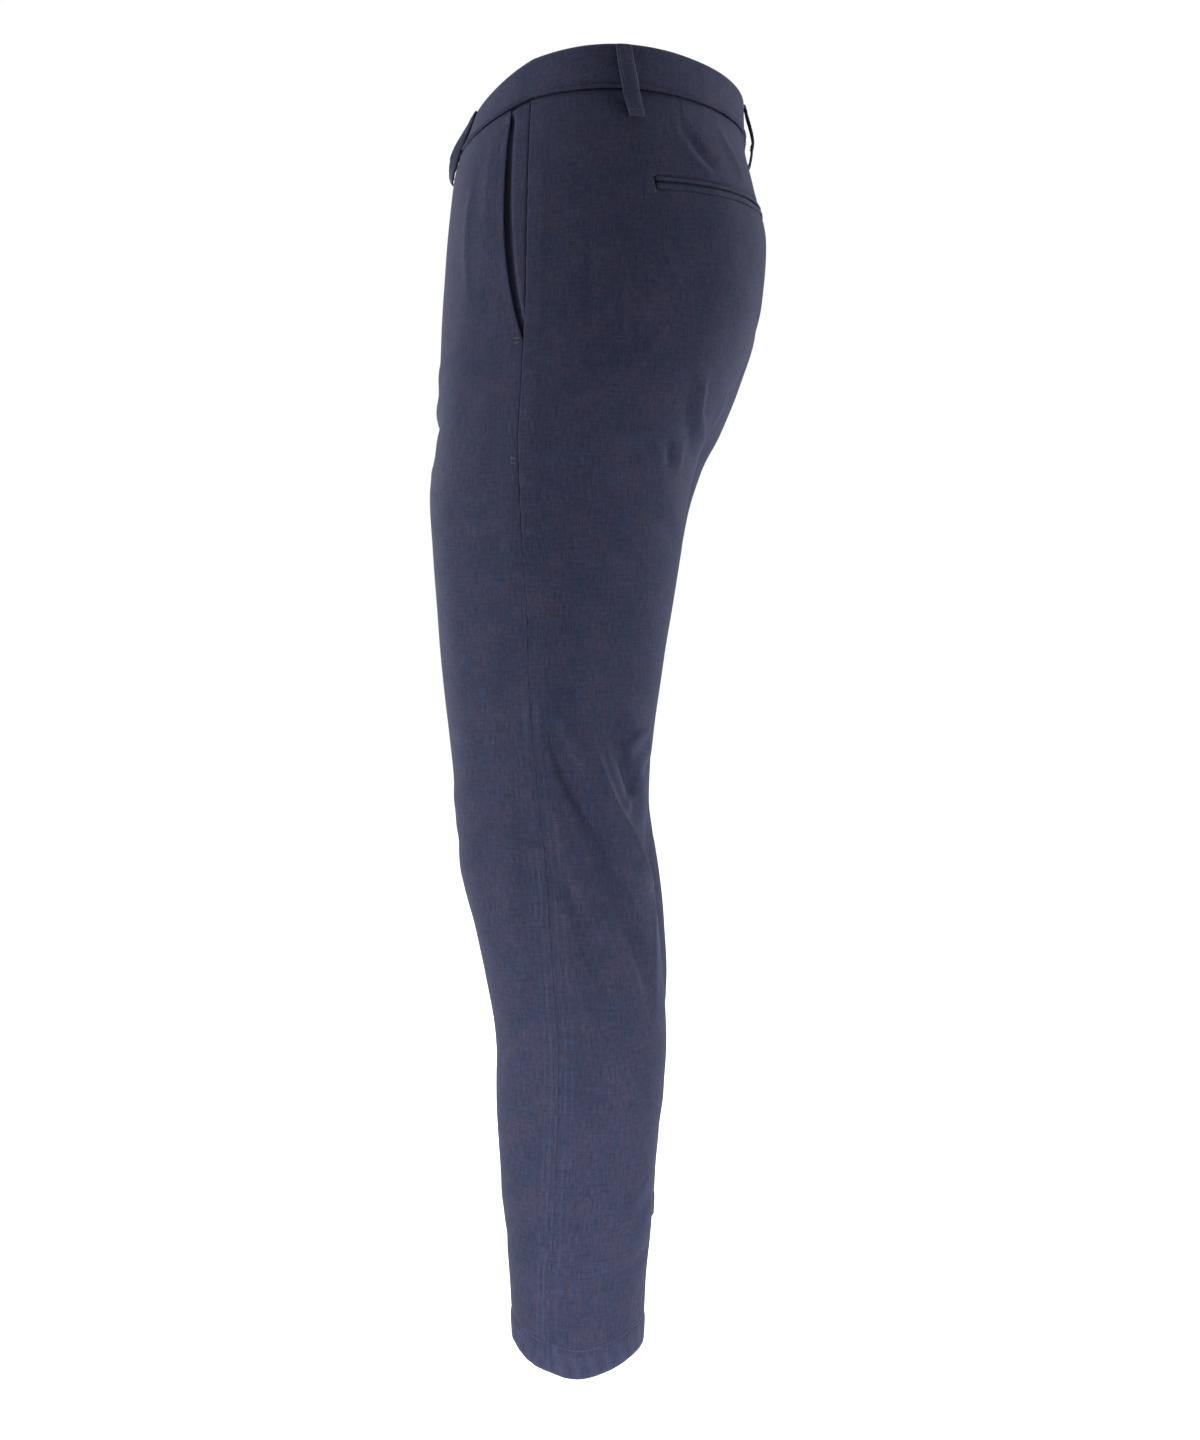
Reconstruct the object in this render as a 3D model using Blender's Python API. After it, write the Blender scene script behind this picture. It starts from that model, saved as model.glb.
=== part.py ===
"""Slim chino trousers with ankle-length legs, filled out as worn, with nobody in them.

Frame: +Z up, -Y to the front, +X to the wearer's left. The origin is the centre of the waist
opening, level with the top edge of the waistband at the sides. Tables are in millimetres.

Each leg is cut as a front and a back. They meet at the outseam and the inseam, and above the
fork at the centre seams. Every piece is a sheet of points on one surface, given a thickness.
"""

import math
from collections import namedtuple

import bmesh
import bpy
from mathutils import Vector

MM = 0.001

# Cloth and seams
CLOTH = 1.2
BAND_CLOTH = 2.4
LOOP_CLOTH = 1.6
SEAM_GAP = 0.4
FORK_GAP = 0.5

# Waist
BAND_HEIGHT = 34.5
BAND_PROUD = 0.6
WAIST_SIDE_Z = -34.5
WAIST_FRONT_Z = -59.0
WAIST_BACK_Z = -29.0
UNDERLAP = 38.0
UNDERLAP_RAMP = 14.0
FLY_LENGTH = 158.0

# Fork and hem
FORK_OUTSEAM_Z = -300.0
FORK_Y = 20.0
FORK_Z = -297.0
HEM_Z = -1010.0
HEM_LIFT_REACH = 120.0
RIGHT_LEG_FORWARD = 5.0

# Front pocket: the opening leaves the outseam low down and ends in front of it at the waist
POCKET_SET_BACK = 21.0
POCKET_END_Z = -228.0
POCKET_CURVE = 4.0
POCKET_GAPE = 1.6
FACING_UNDERLAY = 14.0
FACING_DIP = 3.4
FACING_RAMP = 7.0
FACING_END_Z = -238.0

# Back pocket: a window in the back, filled by two welts
WELT_TOP_Z = -104.0
WELT_BOTTOM_Z = -114.4
WELT_SLOT = 0.6
WELT_PROUD = 0.5
WELT_CLOTH = 2.0
WELT_FROM, WELT_TO = 5, 11

# Belt loops
LOOP_WIDTH = 11.0
LOOP_LENGTH = 57.0
LOOP_CLEARANCE = 7.0
FRONT_LOOP_CLEARANCE = 4.5
FRONT_LOOP_PLACE = 58.0
SIDE_LOOP_PLACE = 190.0
LOOP_TOP_INSET = 1.5

# Waistband button
BUTTON_RADIUS = 7.5
BUTTON_THICK = 2.8
BUTTON_FROM_FRONT = 14.0
BUTTON_HOLE_RADIUS = 0.9
BUTTON_HOLE_SPACING = 1.5

ROW_SAMPLES = 72

Section = namedtuple(
    "Section", "z out_x out_y front_x front_y back_x back_y in_x in_y seam_y full"
)
# One level of the left side: its outermost, foremost, rearmost and innermost places, where
# the outseam lies, and how full the corners between them are: 0.552 is an ellipse. Above the
# fork the centre seams take over from in_x and in_y.
SECTIONS = [
    Section(20, 151, 6, 10, -101, 6, 113, 0, 0, -54, 0.45),
    Section(-35, 156, 4, 22, -119, 18, 114, 0, 0, -54, 0.49),
    Section(-80, 165, 4, 38, -129, 46, 121, 0, 0, -54, 0.55),
    Section(-130, 173, 3, 54, -131, 60, 131, 0, 0, -54, 0.58),
    Section(-180, 178, 0, 66, -132, 72, 127, 0, 0, -54, 0.58),
    Section(-230, 179, -5, 76, -133, 80, 112, 0, 5, -56, 0.57),
    Section(-270, 178, -12, 83, -134, 86, 95, 0, 15, -58, 0.56),
    Section(-305, 175, -22, 87, -136, 88, 77, 1, 10, -60, 0.552),
    Section(-340, 171, -31, 88, -140, 88, 67, 6, -8, -59, 0.552),
    Section(-385, 168, -34, 89, -137, 89, 61, 12, -18, -57, 0.552),
    Section(-430, 165, -36, 90, -134, 90, 54, 17, -24, -54, 0.552),
    Section(-480, 162, -38, 91, -130, 92, 46, 22, -28, -53, 0.552),
    Section(-530, 159, -39, 93, -124, 94, 39, 29, -31, -50, 0.552),
    Section(-575, 157, -39, 95, -119, 96, 35, 35, -33, -46, 0.552),
    Section(-610, 156, -38, 97, -117, 97, 34, 39, -33, -42, 0.552),
    Section(-645, 156, -34, 98, -112, 99, 38, 41, -30, -39, 0.552),
    Section(-680, 157, -29, 100, -103, 101, 43, 44, -26, -37, 0.552),
    Section(-720, 158, -23, 102, -94, 103, 47, 47, -21, -34, 0.552),
    Section(-770, 160, -18, 105, -85, 106, 50, 51, -17, -30.5, 0.552),
    Section(-815, 161, -18, 108, -84, 108, 47, 55, -17, -31, 0.552),
    Section(-865, 163, -20, 111, -81, 111, 41, 60, -19, -33, 0.55),
    Section(-915, 164, -20, 114, -77, 114, 38, 64, -19, -35, 0.54),
    Section(-965, 165, -20, 116, -73, 116, 34, 67, -19, -37, 0.52),
    Section(-1020, 166, -20, 118, -70, 118, 32, 69, -19, -37, 0.50),
]

Rise = namedtuple("Rise", "y z")
# The centre seams, from the waist seam down to the fork
FRONT_RISE = [
    Rise(-121, WAIST_FRONT_Z),
    Rise(-130, -100),
    Rise(-132, -150),
    Rise(-129, -195),
    Rise(-117, -234),
    Rise(-92, -266),
    Rise(-52, -288),
    Rise(-14, -296),
    Rise(FORK_Y, FORK_Z),
]
BACK_RISE = [
    Rise(113, WAIST_BACK_Z),
    Rise(118, -70),
    Rise(124, -115),
    Rise(125, -155),
    Rise(119, -195),
    Rise(106, -230),
    Rise(86, -262),
    Rise(54, -286),
    Rise(FORK_Y, FORK_Z),
]

Lift = namedtuple("Lift", "share height")
# How far the hem's edge rises, by the share of the way from the outseam to the inseam
HEM_FRONT = [Lift(0, 5), Lift(0.14, 8), Lift(0.32, 13), Lift(0.6, 15), Lift(1, 12)]
HEM_BACK = [Lift(0, 5), Lift(0.14, 1), Lift(0.26, 3), Lift(0.42, 7), Lift(1, 12)]

FOLD_FADE = 14.0
Fold = namedtuple("Fold", "s_from z_from s_to z_to bow height half_width")
# The largest folds, on the back of each leg: s is the distance round from the outseam, bow
# how far the middle sags out of the straight line, and a height under 0 is a trough.
LEFT_FOLDS = [
    Fold(52, -520, 118, -668, -8, 4.5, 13),
    Fold(72, -500, 104, -612, -4, -7.5, 15),
    Fold(16, -520, 86, -700, -6, -4.0, 13),
    Fold(110, -285, 118, -338, 0, -5.0, 14),
]
RIGHT_FOLDS = [
    Fold(44, -528, 112, -662, -8, 4.0, 13),
    Fold(66, -506, 102, -606, -4, -7.0, 15),
    Fold(20, -530, 80, -690, -5, -3.5, 13),
    Fold(106, -290, 116, -336, 0, -5.0, 14),
]

# Levels of the sheets' rows, measured down the outseam
TORSO_LEVELS = [
    WAIST_SIDE_Z, -58, -82, WELT_TOP_Z, WELT_BOTTOM_Z, -140, -168, -192, -209,
    POCKET_END_Z, -244, -266, -284, FORK_OUTSEAM_Z,
]
LEG_LEVELS = [
    -322, -350, -388, -430, -470, -508, -538, -562, -584, -606, -628, -654, -684,
    -722, -768, -815, -865, -915, -965, HEM_Z,
]
FRONT_SHARES = [0, 0.08, 0.17, 0.27, 0.37, 0.47, 0.57, 0.67, 0.77, 0.89, 1]
BACK_SHARES = [
    0, 0.07, 0.14, 0.21, 0.27, 0.325, 0.41, 0.49, 0.57, 0.65, 0.74, 0.82, 0.91, 1
]


def ease(share):
    share = min(max(share, 0.0), 1.0)
    return share * share * (3 - 2 * share)


def knee_share(z):
    """1 about the knee, 0 above the fork and near the hem."""
    return ease((FORK_Z - z) / 120) * ease((z + 940) / 120)


def level_out(share):
    """From 0 to 1, at a steady slope first and level at the end."""
    return share + share * share - share**3


def slopes(at, values):
    """Slopes that make a cubic through the values without overshooting them."""
    steps = [(b - a) for a, b in zip(at, at[1:])]
    rates = [(b - a) / step for a, b, step in zip(values, values[1:], steps)]
    found = [rates[0]]
    for before, after in zip(rates, rates[1:]):
        same_way = before * after > 0
        found.append(2 * before * after / (before + after) if same_way else 0.0)
    return found + [rates[-1]]


def smooth_through(at, values):
    """A function that runs smoothly through the values, with at rising."""
    rates = slopes(at, values)

    def value(x):
        x = min(max(x, at[0]), at[-1])
        i = max(k for k in range(len(at) - 1) if at[k] <= x)
        step = at[i + 1] - at[i]
        t = (x - at[i]) / step
        return (
            values[i] * (1 + 2 * t) * (1 - t) ** 2
            + values[i + 1] * t * t * (3 - 2 * t)
            + step * t * (1 - t) * (rates[i] * (1 - t) - rates[i + 1] * t)
        )

    return value


def columns_of(table):
    rising = sorted(table, key=lambda row: row.z)
    levels = [row.z for row in rising]
    return {
        name: smooth_through(levels, [getattr(row, name) for row in rising])
        for name in table[0]._fields
        if name != "z"
    }


SECTION_AT = columns_of(SECTIONS)


def section_at(z):
    return Section(z, **{name: value(z) for name, value in SECTION_AT.items()})


def along(points):
    """Distances along a line of points, from its start."""
    found = [0.0]
    for a, b in zip(points, points[1:]):
        found.append(found[-1] + (b - a).length)
    return found


def rise_line(table):
    """A centre seam as a function of the distance from the waist, and its length."""
    points = [Vector((0, row.y, row.z)) for row in table]
    at = along(points)
    y = smooth_through(at, [p.y for p in points])
    z = smooth_through(at, [p.z for p in points])
    return (lambda distance: (y(distance), z(distance))), at[-1]


FRONT_RISE_AT, FRONT_RISE_LENGTH = rise_line(FRONT_RISE)
BACK_RISE_AT, BACK_RISE_LENGTH = rise_line(BACK_RISE)


def cubic(a, b, c, d, t):
    s = 1 - t
    return (
        a[0] * s**3 + 3 * b[0] * s * s * t + 3 * c[0] * s * t * t + d[0] * t**3,
        a[1] * s**3 + 3 * b[1] * s * s * t + 3 * c[1] * s * t * t + d[1] * t**3,
    )


def outer_quarter(section, end_x, end_y, t):
    """From the outermost place to the foremost or the rearmost one."""
    return cubic(
        (section.out_x, section.out_y),
        (section.out_x, section.out_y + section.full * (end_y - section.out_y)),
        (end_x + section.full * (section.out_x - end_x), end_y),
        (end_x, end_y),
        t,
    )


def inner_quarter(full, from_x, from_y, in_x, in_y, crease, t):
    """From the foremost or rearmost place to the inner seam. A crease of 1 meets the seam
    square on, as inside a leg, and one of 0 runs smoothly across it, as over the belly."""
    return cubic(
        (from_x, from_y),
        (from_x + full * (in_x - from_x), from_y),
        (
            in_x + full * (from_x - in_x) * (1 - crease),
            in_y + full * (from_y - in_y) * crease,
        ),
        (in_x, in_y),
        t,
    )


def seam_turn(section):
    """Where on the outer front quarter the outseam lies, from 0 at the side to 1 in front."""
    low, high = 0.0, 1.0
    for _ in range(24):
        middle = (low + high) / 2
        y = outer_quarter(section, section.front_x, section.front_y, middle)[1]
        low, high = (middle, high) if y > section.seam_y else (low, middle)
    return low


Inner = namedtuple("Inner", "y z crease")


def inner_end(outseam_z, back):
    """Where a row that starts on the outseam ends: on the centre seam or on the inseam."""
    if outseam_z < FORK_OUTSEAM_Z:
        share = (outseam_z - FORK_OUTSEAM_Z) / (HEM_Z - FORK_OUTSEAM_Z)
        z = FORK_Z + share * (HEM_Z - FORK_Z)
        near_fork = ease((FORK_OUTSEAM_Z - outseam_z) / 40)
        y = FORK_Y + (SECTION_AT["in_y"](z) - FORK_Y) * near_fork
        return Inner(y, z, 1.0)
    rise_at, length = (
        (BACK_RISE_AT, BACK_RISE_LENGTH) if back else (FRONT_RISE_AT, FRONT_RISE_LENGTH)
    )
    drop = WAIST_SIDE_Z - FORK_OUTSEAM_Z
    share = (WAIST_SIDE_Z - outseam_z) / drop
    if share < 0:
        y = SECTION_AT["back_y" if back else "front_y"](outseam_z)
        waist_z = WAIST_BACK_Z if back else WAIST_FRONT_Z
        return Inner(y, waist_z + (outseam_z - WAIST_SIDE_Z), 0.0)
    y, z = rise_at(drop * share + (length - drop) * share**4)
    return Inner(y, z, ease((share - 0.45) / 0.55))


HEM_FRONT_AT = smooth_through([at.share for at in HEM_FRONT], [at.height for at in HEM_FRONT])
HEM_BACK_AT = smooth_through([at.share for at in HEM_BACK], [at.height for at in HEM_BACK])


def inseam_margin(outseam_z):
    """How far a panel's edge stays from the inseam: more at the fork, where walls crowd."""
    if outseam_z > FORK_OUTSEAM_Z:
        return 0.0
    return SEAM_GAP / 2 + FORK_GAP * ease((outseam_z - FORK_OUTSEAM_Z + 70) / 70)


def hem_lift(outseam_z, share, back):
    near_hem = ease((HEM_Z + HEM_LIFT_REACH - outseam_z) / HEM_LIFT_REACH)
    return near_hem * (HEM_BACK_AT(share) if back else HEM_FRONT_AT(share))


def row_line(outseam_z, back):
    """Close points round the left side, from the outseam to the inner end of one row."""
    end = inner_end(outseam_z, back)
    section = section_at(outseam_z)
    turn = seam_turn(section)
    seam = outer_quarter(section, section.front_x, section.front_y, turn)
    far = (section.back_x, section.back_y) if back else (section.front_x, section.front_y)
    in_x = section.in_x if outseam_z < FORK_OUTSEAM_Z else 0.0
    out = (section.out_x, section.out_y)
    outer = math.dist(seam, out) + math.dist(out, far) if back else math.dist(seam, far)
    corner = outer / (outer + math.dist(far, (in_x, end.y)))
    line = []
    for step in range(ROW_SAMPLES + 1):
        share = step / ROW_SAMPLES
        z = outseam_z + (end.z - outseam_z) * level_out(share)
        section = section_at(z)
        turn = seam_turn(section)
        far_x = section.back_x if back else section.front_x
        far_y = section.back_y if back else section.front_y
        in_x = section.in_x if outseam_z < FORK_OUTSEAM_Z else 0.0
        if share > corner:
            x, y = inner_quarter(
                section.full, far_x, far_y, in_x, end.y, end.crease,
                (share - corner) / (1 - corner),
            )
        elif back and share / corner * (1 + turn) < turn:
            at = turn - share / corner * (1 + turn)
            x, y = outer_quarter(section, section.front_x, section.front_y, at)
        elif back:
            at = share / corner * (1 + turn) - turn
            x, y = outer_quarter(section, far_x, far_y, at)
        else:
            at = turn + share / corner * (1 - turn)
            x, y = outer_quarter(section, far_x, far_y, at)
        line.append(Vector((max(x, SEAM_GAP / 2), y, z + hem_lift(outseam_z, share, back))))
    return line


class Row:
    """One row of a sheet: points at any distance from the outseam or from the inner end."""

    def __init__(self, outseam_z, back):
        self.line = row_line(outseam_z, back)
        self.at = along(self.line)
        self.length = self.at[-1]

    def point(self, distance):
        distance = min(max(distance, 0.0), self.length)
        i = max(k for k in range(len(self.at) - 1) if self.at[k] <= distance)
        t = (distance - self.at[i]) / (self.at[i + 1] - self.at[i])
        return self.line[i].lerp(self.line[i + 1], t)

    def point_from_centre(self, distance):
        """On the left for a distance over 0, and mirrored to the right under 0."""
        p = self.point(self.length - abs(distance))
        return Vector((math.copysign(p.x, distance), p.y, p.z))


def fold_height(folds, s, z):
    """How far the folds move the cloth out at a place on the back."""
    total = 0.0
    for fold in folds:
        along_s, along_z = fold.s_to - fold.s_from, fold.z_to - fold.z_from
        length = math.hypot(along_s, along_z)
        ds, dz = s - fold.s_from, z - fold.z_from
        share = (ds * along_s + dz * along_z) / length**2
        if not 0 < share < 1:
            continue
        aside = (ds * along_z - dz * along_s) / length
        aside -= fold.bow * math.sin(math.pi * share)
        across = aside / fold.half_width
        total += fold.height * math.exp(-across * across) * math.sin(math.pi * share)
    return total


def normals_of(rows):
    """Outward normals of a sheet, whose rows run down and whose columns run from the centre
    front round the left side to the centre back."""
    last_row, last_column = len(rows) - 1, len(rows[0]) - 1
    found = []
    for i, row in enumerate(rows):
        line = []
        for j in range(len(row)):
            down = rows[min(i + 1, last_row)][j] - rows[max(i - 1, 0)][j]
            across = row[min(j + 1, last_column)] - row[max(j - 1, 0)]
            line.append(down.cross(across).normalized())
        found.append(line)
    return found


def moved_out(rows, height):
    """The sheet with each point moved along its normal by height(row, column)."""
    normals = normals_of(rows)
    return [
        [p + normals[i][j] * height(i, j) for j, p in enumerate(row)]
        for i, row in enumerate(rows)
    ]


def mirrored(rows):
    """The same piece on the right side, with its columns turned so that it still faces out.
    The right knee is a little in front of the left one."""
    return [
        [Vector((-p.x, p.y - RIGHT_LEG_FORWARD * knee_share(p.z), p.z)) for p in reversed(row)]
        for row in rows
    ]


def material(name, colour, roughness, metallic=0.0):
    made = bpy.data.materials.new(name)
    made.use_nodes = True
    surface = made.node_tree.nodes["Principled BSDF"]
    surface.inputs["Base Color"].default_value = (*colour, 1.0)
    surface.inputs["Roughness"].default_value = roughness
    surface.inputs["Metallic"].default_value = metallic
    return made


def linked(name, shape):
    """A new object in the scene with this bmesh as its mesh."""
    mesh = bpy.data.meshes.new(name)
    shape.to_mesh(mesh)
    shape.free()
    made = bpy.data.objects.new(name, mesh)
    bpy.context.scene.collection.objects.link(made)
    return made


def sheet(name, rows, thickness, cloth, window=(), outward=False):
    """A named piece of cloth: a grid of points with its quads, made a wall by Solidify, on
    the inner side of the points unless outward. window holds the (row, column) quads that
    are left out."""
    shape = bmesh.new()
    verts = [[shape.verts.new(p * MM) for p in row] for row in rows]
    for i in range(len(rows) - 1):
        for j in range(len(rows[0]) - 1):
            if (i, j) not in window:
                quad = (verts[i][j], verts[i + 1][j], verts[i + 1][j + 1], verts[i][j + 1])
                shape.faces.new(quad)
    piece = linked(name, shape)
    piece.data.shade_smooth()
    piece.data.materials.append(cloth)
    wall = piece.modifiers.new("wall", "SOLIDIFY")
    wall.thickness = thickness * MM
    wall.offset = 1.0 if outward else -1.0
    wall.use_quality_normals = True


def pocket_set_back(z):
    """How far in front of the outseam the front pocket's opening is."""
    share = (WAIST_SIDE_Z - z) / (WAIST_SIDE_Z - POCKET_END_Z)
    if share >= 1:
        return 0.0
    return POCKET_SET_BACK * (1 - max(share, 0.0) ** POCKET_CURVE)


def pocket_gape(z):
    """How far the edge of the front pocket stands off, most at the middle of the opening."""
    share = (WAIST_SIDE_Z - z) / (WAIST_SIDE_Z - POCKET_END_Z)
    return POCKET_GAPE * math.sin(math.pi * share) if 0 < share < 1 else 0.0


def front_panel():
    """The left front, from the centre and inseam to the pocket's opening and the outseam."""
    levels = TORSO_LEVELS + LEG_LEVELS
    rows = []
    for level in levels:
        row = Row(level, back=False)
        start = pocket_set_back(level) + SEAM_GAP / 2
        end = row.length - inseam_margin(level)
        rows.append([row.point(end + share * (start - end)) for share in FRONT_SHARES])
    edge_share = {len(FRONT_SHARES) - 1: 1.0, len(FRONT_SHARES) - 2: 0.6}
    return moved_out(rows, lambda i, j: pocket_gape(levels[i]) * edge_share.get(j, 0.0))


def back_panel(folds):
    """The left back, from the outseam round the seat and calf to the centre and inseam."""
    rows, distances = [], []
    for level in TORSO_LEVELS + LEG_LEVELS:
        row = Row(level, back=True)
        end = row.length - inseam_margin(level)
        places = [SEAM_GAP / 2 + share * (end - SEAM_GAP / 2) for share in BACK_SHARES]
        rows.append([row.point(place) for place in places])
        distances.append(places)

    def height(i, j):
        place, end = distances[i][j], distances[i][-1]
        fade = ease(min(place, end - place) / FOLD_FADE)
        return fade * fold_height(folds, place, rows[i][j].z)

    return moved_out(rows, height)


def welt_window(right):
    """The quads of a back that the two welts fill. The right back's columns are turned."""
    row = TORSO_LEVELS.index(WELT_TOP_Z)
    last = len(BACK_SHARES) - 2
    columns = range(WELT_FROM, WELT_TO)
    return {(row, last - column if right else column) for column in columns}


def welt(top_z, bottom_z):
    """One welt of the back pocket: a strip of the back between two levels, moved out."""
    count = 2 * (WELT_TO - WELT_FROM)
    rows = []
    for level in (top_z, bottom_z):
        row = Row(level, back=True)
        start = BACK_SHARES[WELT_FROM] * row.length + 2 * SEAM_GAP
        end = BACK_SHARES[WELT_TO] * row.length - 2 * SEAM_GAP
        rows.append([row.point(start + k / count * (end - start)) for k in range(count + 1)])
    return moved_out(rows, lambda i, j: WELT_PROUD)


def facing():
    """The strip under the front pocket's opening, sewn to the back at the outseam."""
    levels = [z for z in TORSO_LEVELS if z >= POCKET_END_Z] + [FACING_END_Z]
    shares = [1, 0.78, 0.55, 0.36, 0.18, 0]
    rows, dips = [], []
    for level in levels:
        row = Row(level, back=False)
        edge = pocket_set_back(level)
        places = [SEAM_GAP + share * (edge + FACING_UNDERLAY) for share in shares]
        rows.append([row.point(place) for place in places])
        dips.append([ease((place - edge + FACING_RAMP) / FACING_RAMP) for place in places])
    return moved_out(rows, lambda i, j: -FACING_DIP * dips[i][j])


def fly_underlap():
    """The right front's extension behind the fly, wholly under the left front."""
    rows = []
    for level in [z for z in TORSO_LEVELS if z > WAIST_SIDE_Z - FLY_LENGTH]:
        row = Row(level - SEAM_GAP, back=False)
        rows.append([row.point_from_centre(place) for place in (-12, -5, 3, 12, 20, 28, 38)])
    return moved_out(rows, lambda i, j: -CLOTH - 2.5 * SEAM_GAP)


def band(with_underlap):
    """One half of the waistband, from the centre front to the centre back. The right half
    starts beyond the centre, under the left one, and carries the button."""
    count = 11
    rows, depths = [], []
    for level in (0.0, -BAND_HEIGHT / 2, WAIST_SIDE_Z + 2 * SEAM_GAP):
        before, behind = Row(level, back=False), Row(level, back=True)
        places = [SEAM_GAP / 2, UNDERLAP_RAMP / 2, UNDERLAP_RAMP]
        if with_underlap:
            places = [-UNDERLAP, -30, -22, -14, -7] + places
        line = [before.point_from_centre(place) for place in places]
        depth = [ease((UNDERLAP_RAMP - place) / UNDERLAP_RAMP) for place in places]
        end = before.length - UNDERLAP_RAMP
        line += [before.point(end * (1 - k / count)) for k in range(1, count)]
        line += [behind.point(behind.length * k / count) for k in range(count)]
        line.append(behind.point(behind.length - SEAM_GAP / 2))
        depth += [0.0] * (len(line) - len(depth))
        rows.append(line)
        depths.append(depth)
    sink = BAND_CLOTH + 2.5 * SEAM_GAP if with_underlap else 0.0
    return moved_out(rows, lambda i, j: BAND_PROUD - sink * depths[i][j])


def loop(back, distance, clearance):
    """A belt loop over the waistband, at a distance from the centre seam: its two ends lie
    flat and its middle stands off by the clearance."""
    count = 10
    rows, heights = [], []
    for k in range(count + 1):
        share = k / count
        level = -LOOP_TOP_INSET - share * (LOOP_LENGTH - LOOP_TOP_INSET)
        row = Row(level, back)
        places = [distance + step * LOOP_WIDTH / 2 for step in (-1, 0, 1)]
        line = [row.point_from_centre(place) for place in places]
        rows.append(line[::-1] if back else line)
        foot = SEAM_GAP + (BAND_PROUD if level > WAIST_SIDE_Z - 4 else 0)
        bulge = ease(min(share / 0.3, (1 - share) / 0.24, 1.0))
        heights.append(foot + clearance * bulge)
    return moved_out(rows, lambda i, j: heights[i])


def button_drill(name, turn):
    """The cutter of one thread hole, at this turn round the button's middle."""
    shape = bmesh.new()
    bmesh.ops.create_cone(
        shape, cap_ends=True, segments=10, radius1=BUTTON_HOLE_RADIUS * MM,
        radius2=BUTTON_HOLE_RADIUS * MM, depth=4 * BUTTON_THICK * MM,
    )
    drill = linked(name, shape)
    spacing = BUTTON_HOLE_SPACING * MM
    drill.location = (spacing * math.cos(turn), spacing * math.sin(turn), 0)
    drill.hide_render = True
    drill.display_type = "WIRE"
    return drill


def button(name, centre, outward, horn):
    """A four-hole button: a turned disc with a raised rim, bored through four times."""
    profile = [
        (0.0, 0.0), (BUTTON_RADIUS - 0.8, 0.0), (BUTTON_RADIUS, 0.9),
        (BUTTON_RADIUS - 0.3, BUTTON_THICK), (BUTTON_RADIUS - 1.4, BUTTON_THICK),
        (BUTTON_RADIUS - 2.2, BUTTON_THICK - 1.0), (0.0, BUTTON_THICK - 1.0),
    ]
    shape = bmesh.new()
    verts = [shape.verts.new((x * MM, 0, z * MM)) for x, z in profile]
    edges = [shape.edges.new(pair) for pair in zip(verts, verts[1:])]
    bmesh.ops.spin(
        shape, geom=verts + edges, cent=(0, 0, 0), axis=(0, 0, 1),
        angle=2 * math.pi, steps=28, use_merge=True,
    )
    bmesh.ops.remove_doubles(shape, verts=shape.verts[:], dist=1e-6)
    bmesh.ops.recalc_face_normals(shape, faces=shape.faces[:])
    piece = linked(name, shape)
    piece.data.materials.append(horn)
    for k in range(4):
        drill = button_drill(f"{name}_drill_{k}", math.pi / 4 + k * math.pi / 2)
        drill.parent = piece
        hole = piece.modifiers.new(f"hole_{k}", "BOOLEAN")
        hole.operation = "DIFFERENCE"
        hole.object = drill
    piece.location = centre * MM
    piece.rotation_mode = "QUATERNION"
    piece.rotation_quaternion = outward.to_track_quat("Z", "Y")


def button_place():
    """The button's place on the waistband, and which way it faces."""
    row = Row(-BAND_HEIGHT / 2, back=False)
    place = row.point_from_centre(BUTTON_FROM_FRONT)
    across = row.point_from_centre(2 * BUTTON_FROM_FRONT) - row.point_from_centre(0)
    up = Row(-BAND_HEIGHT / 4, back=False).point_from_centre(BUTTON_FROM_FRONT) - place
    outward = across.cross(up).normalized()
    return place + outward * (BAND_PROUD + SEAM_GAP), outward


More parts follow.
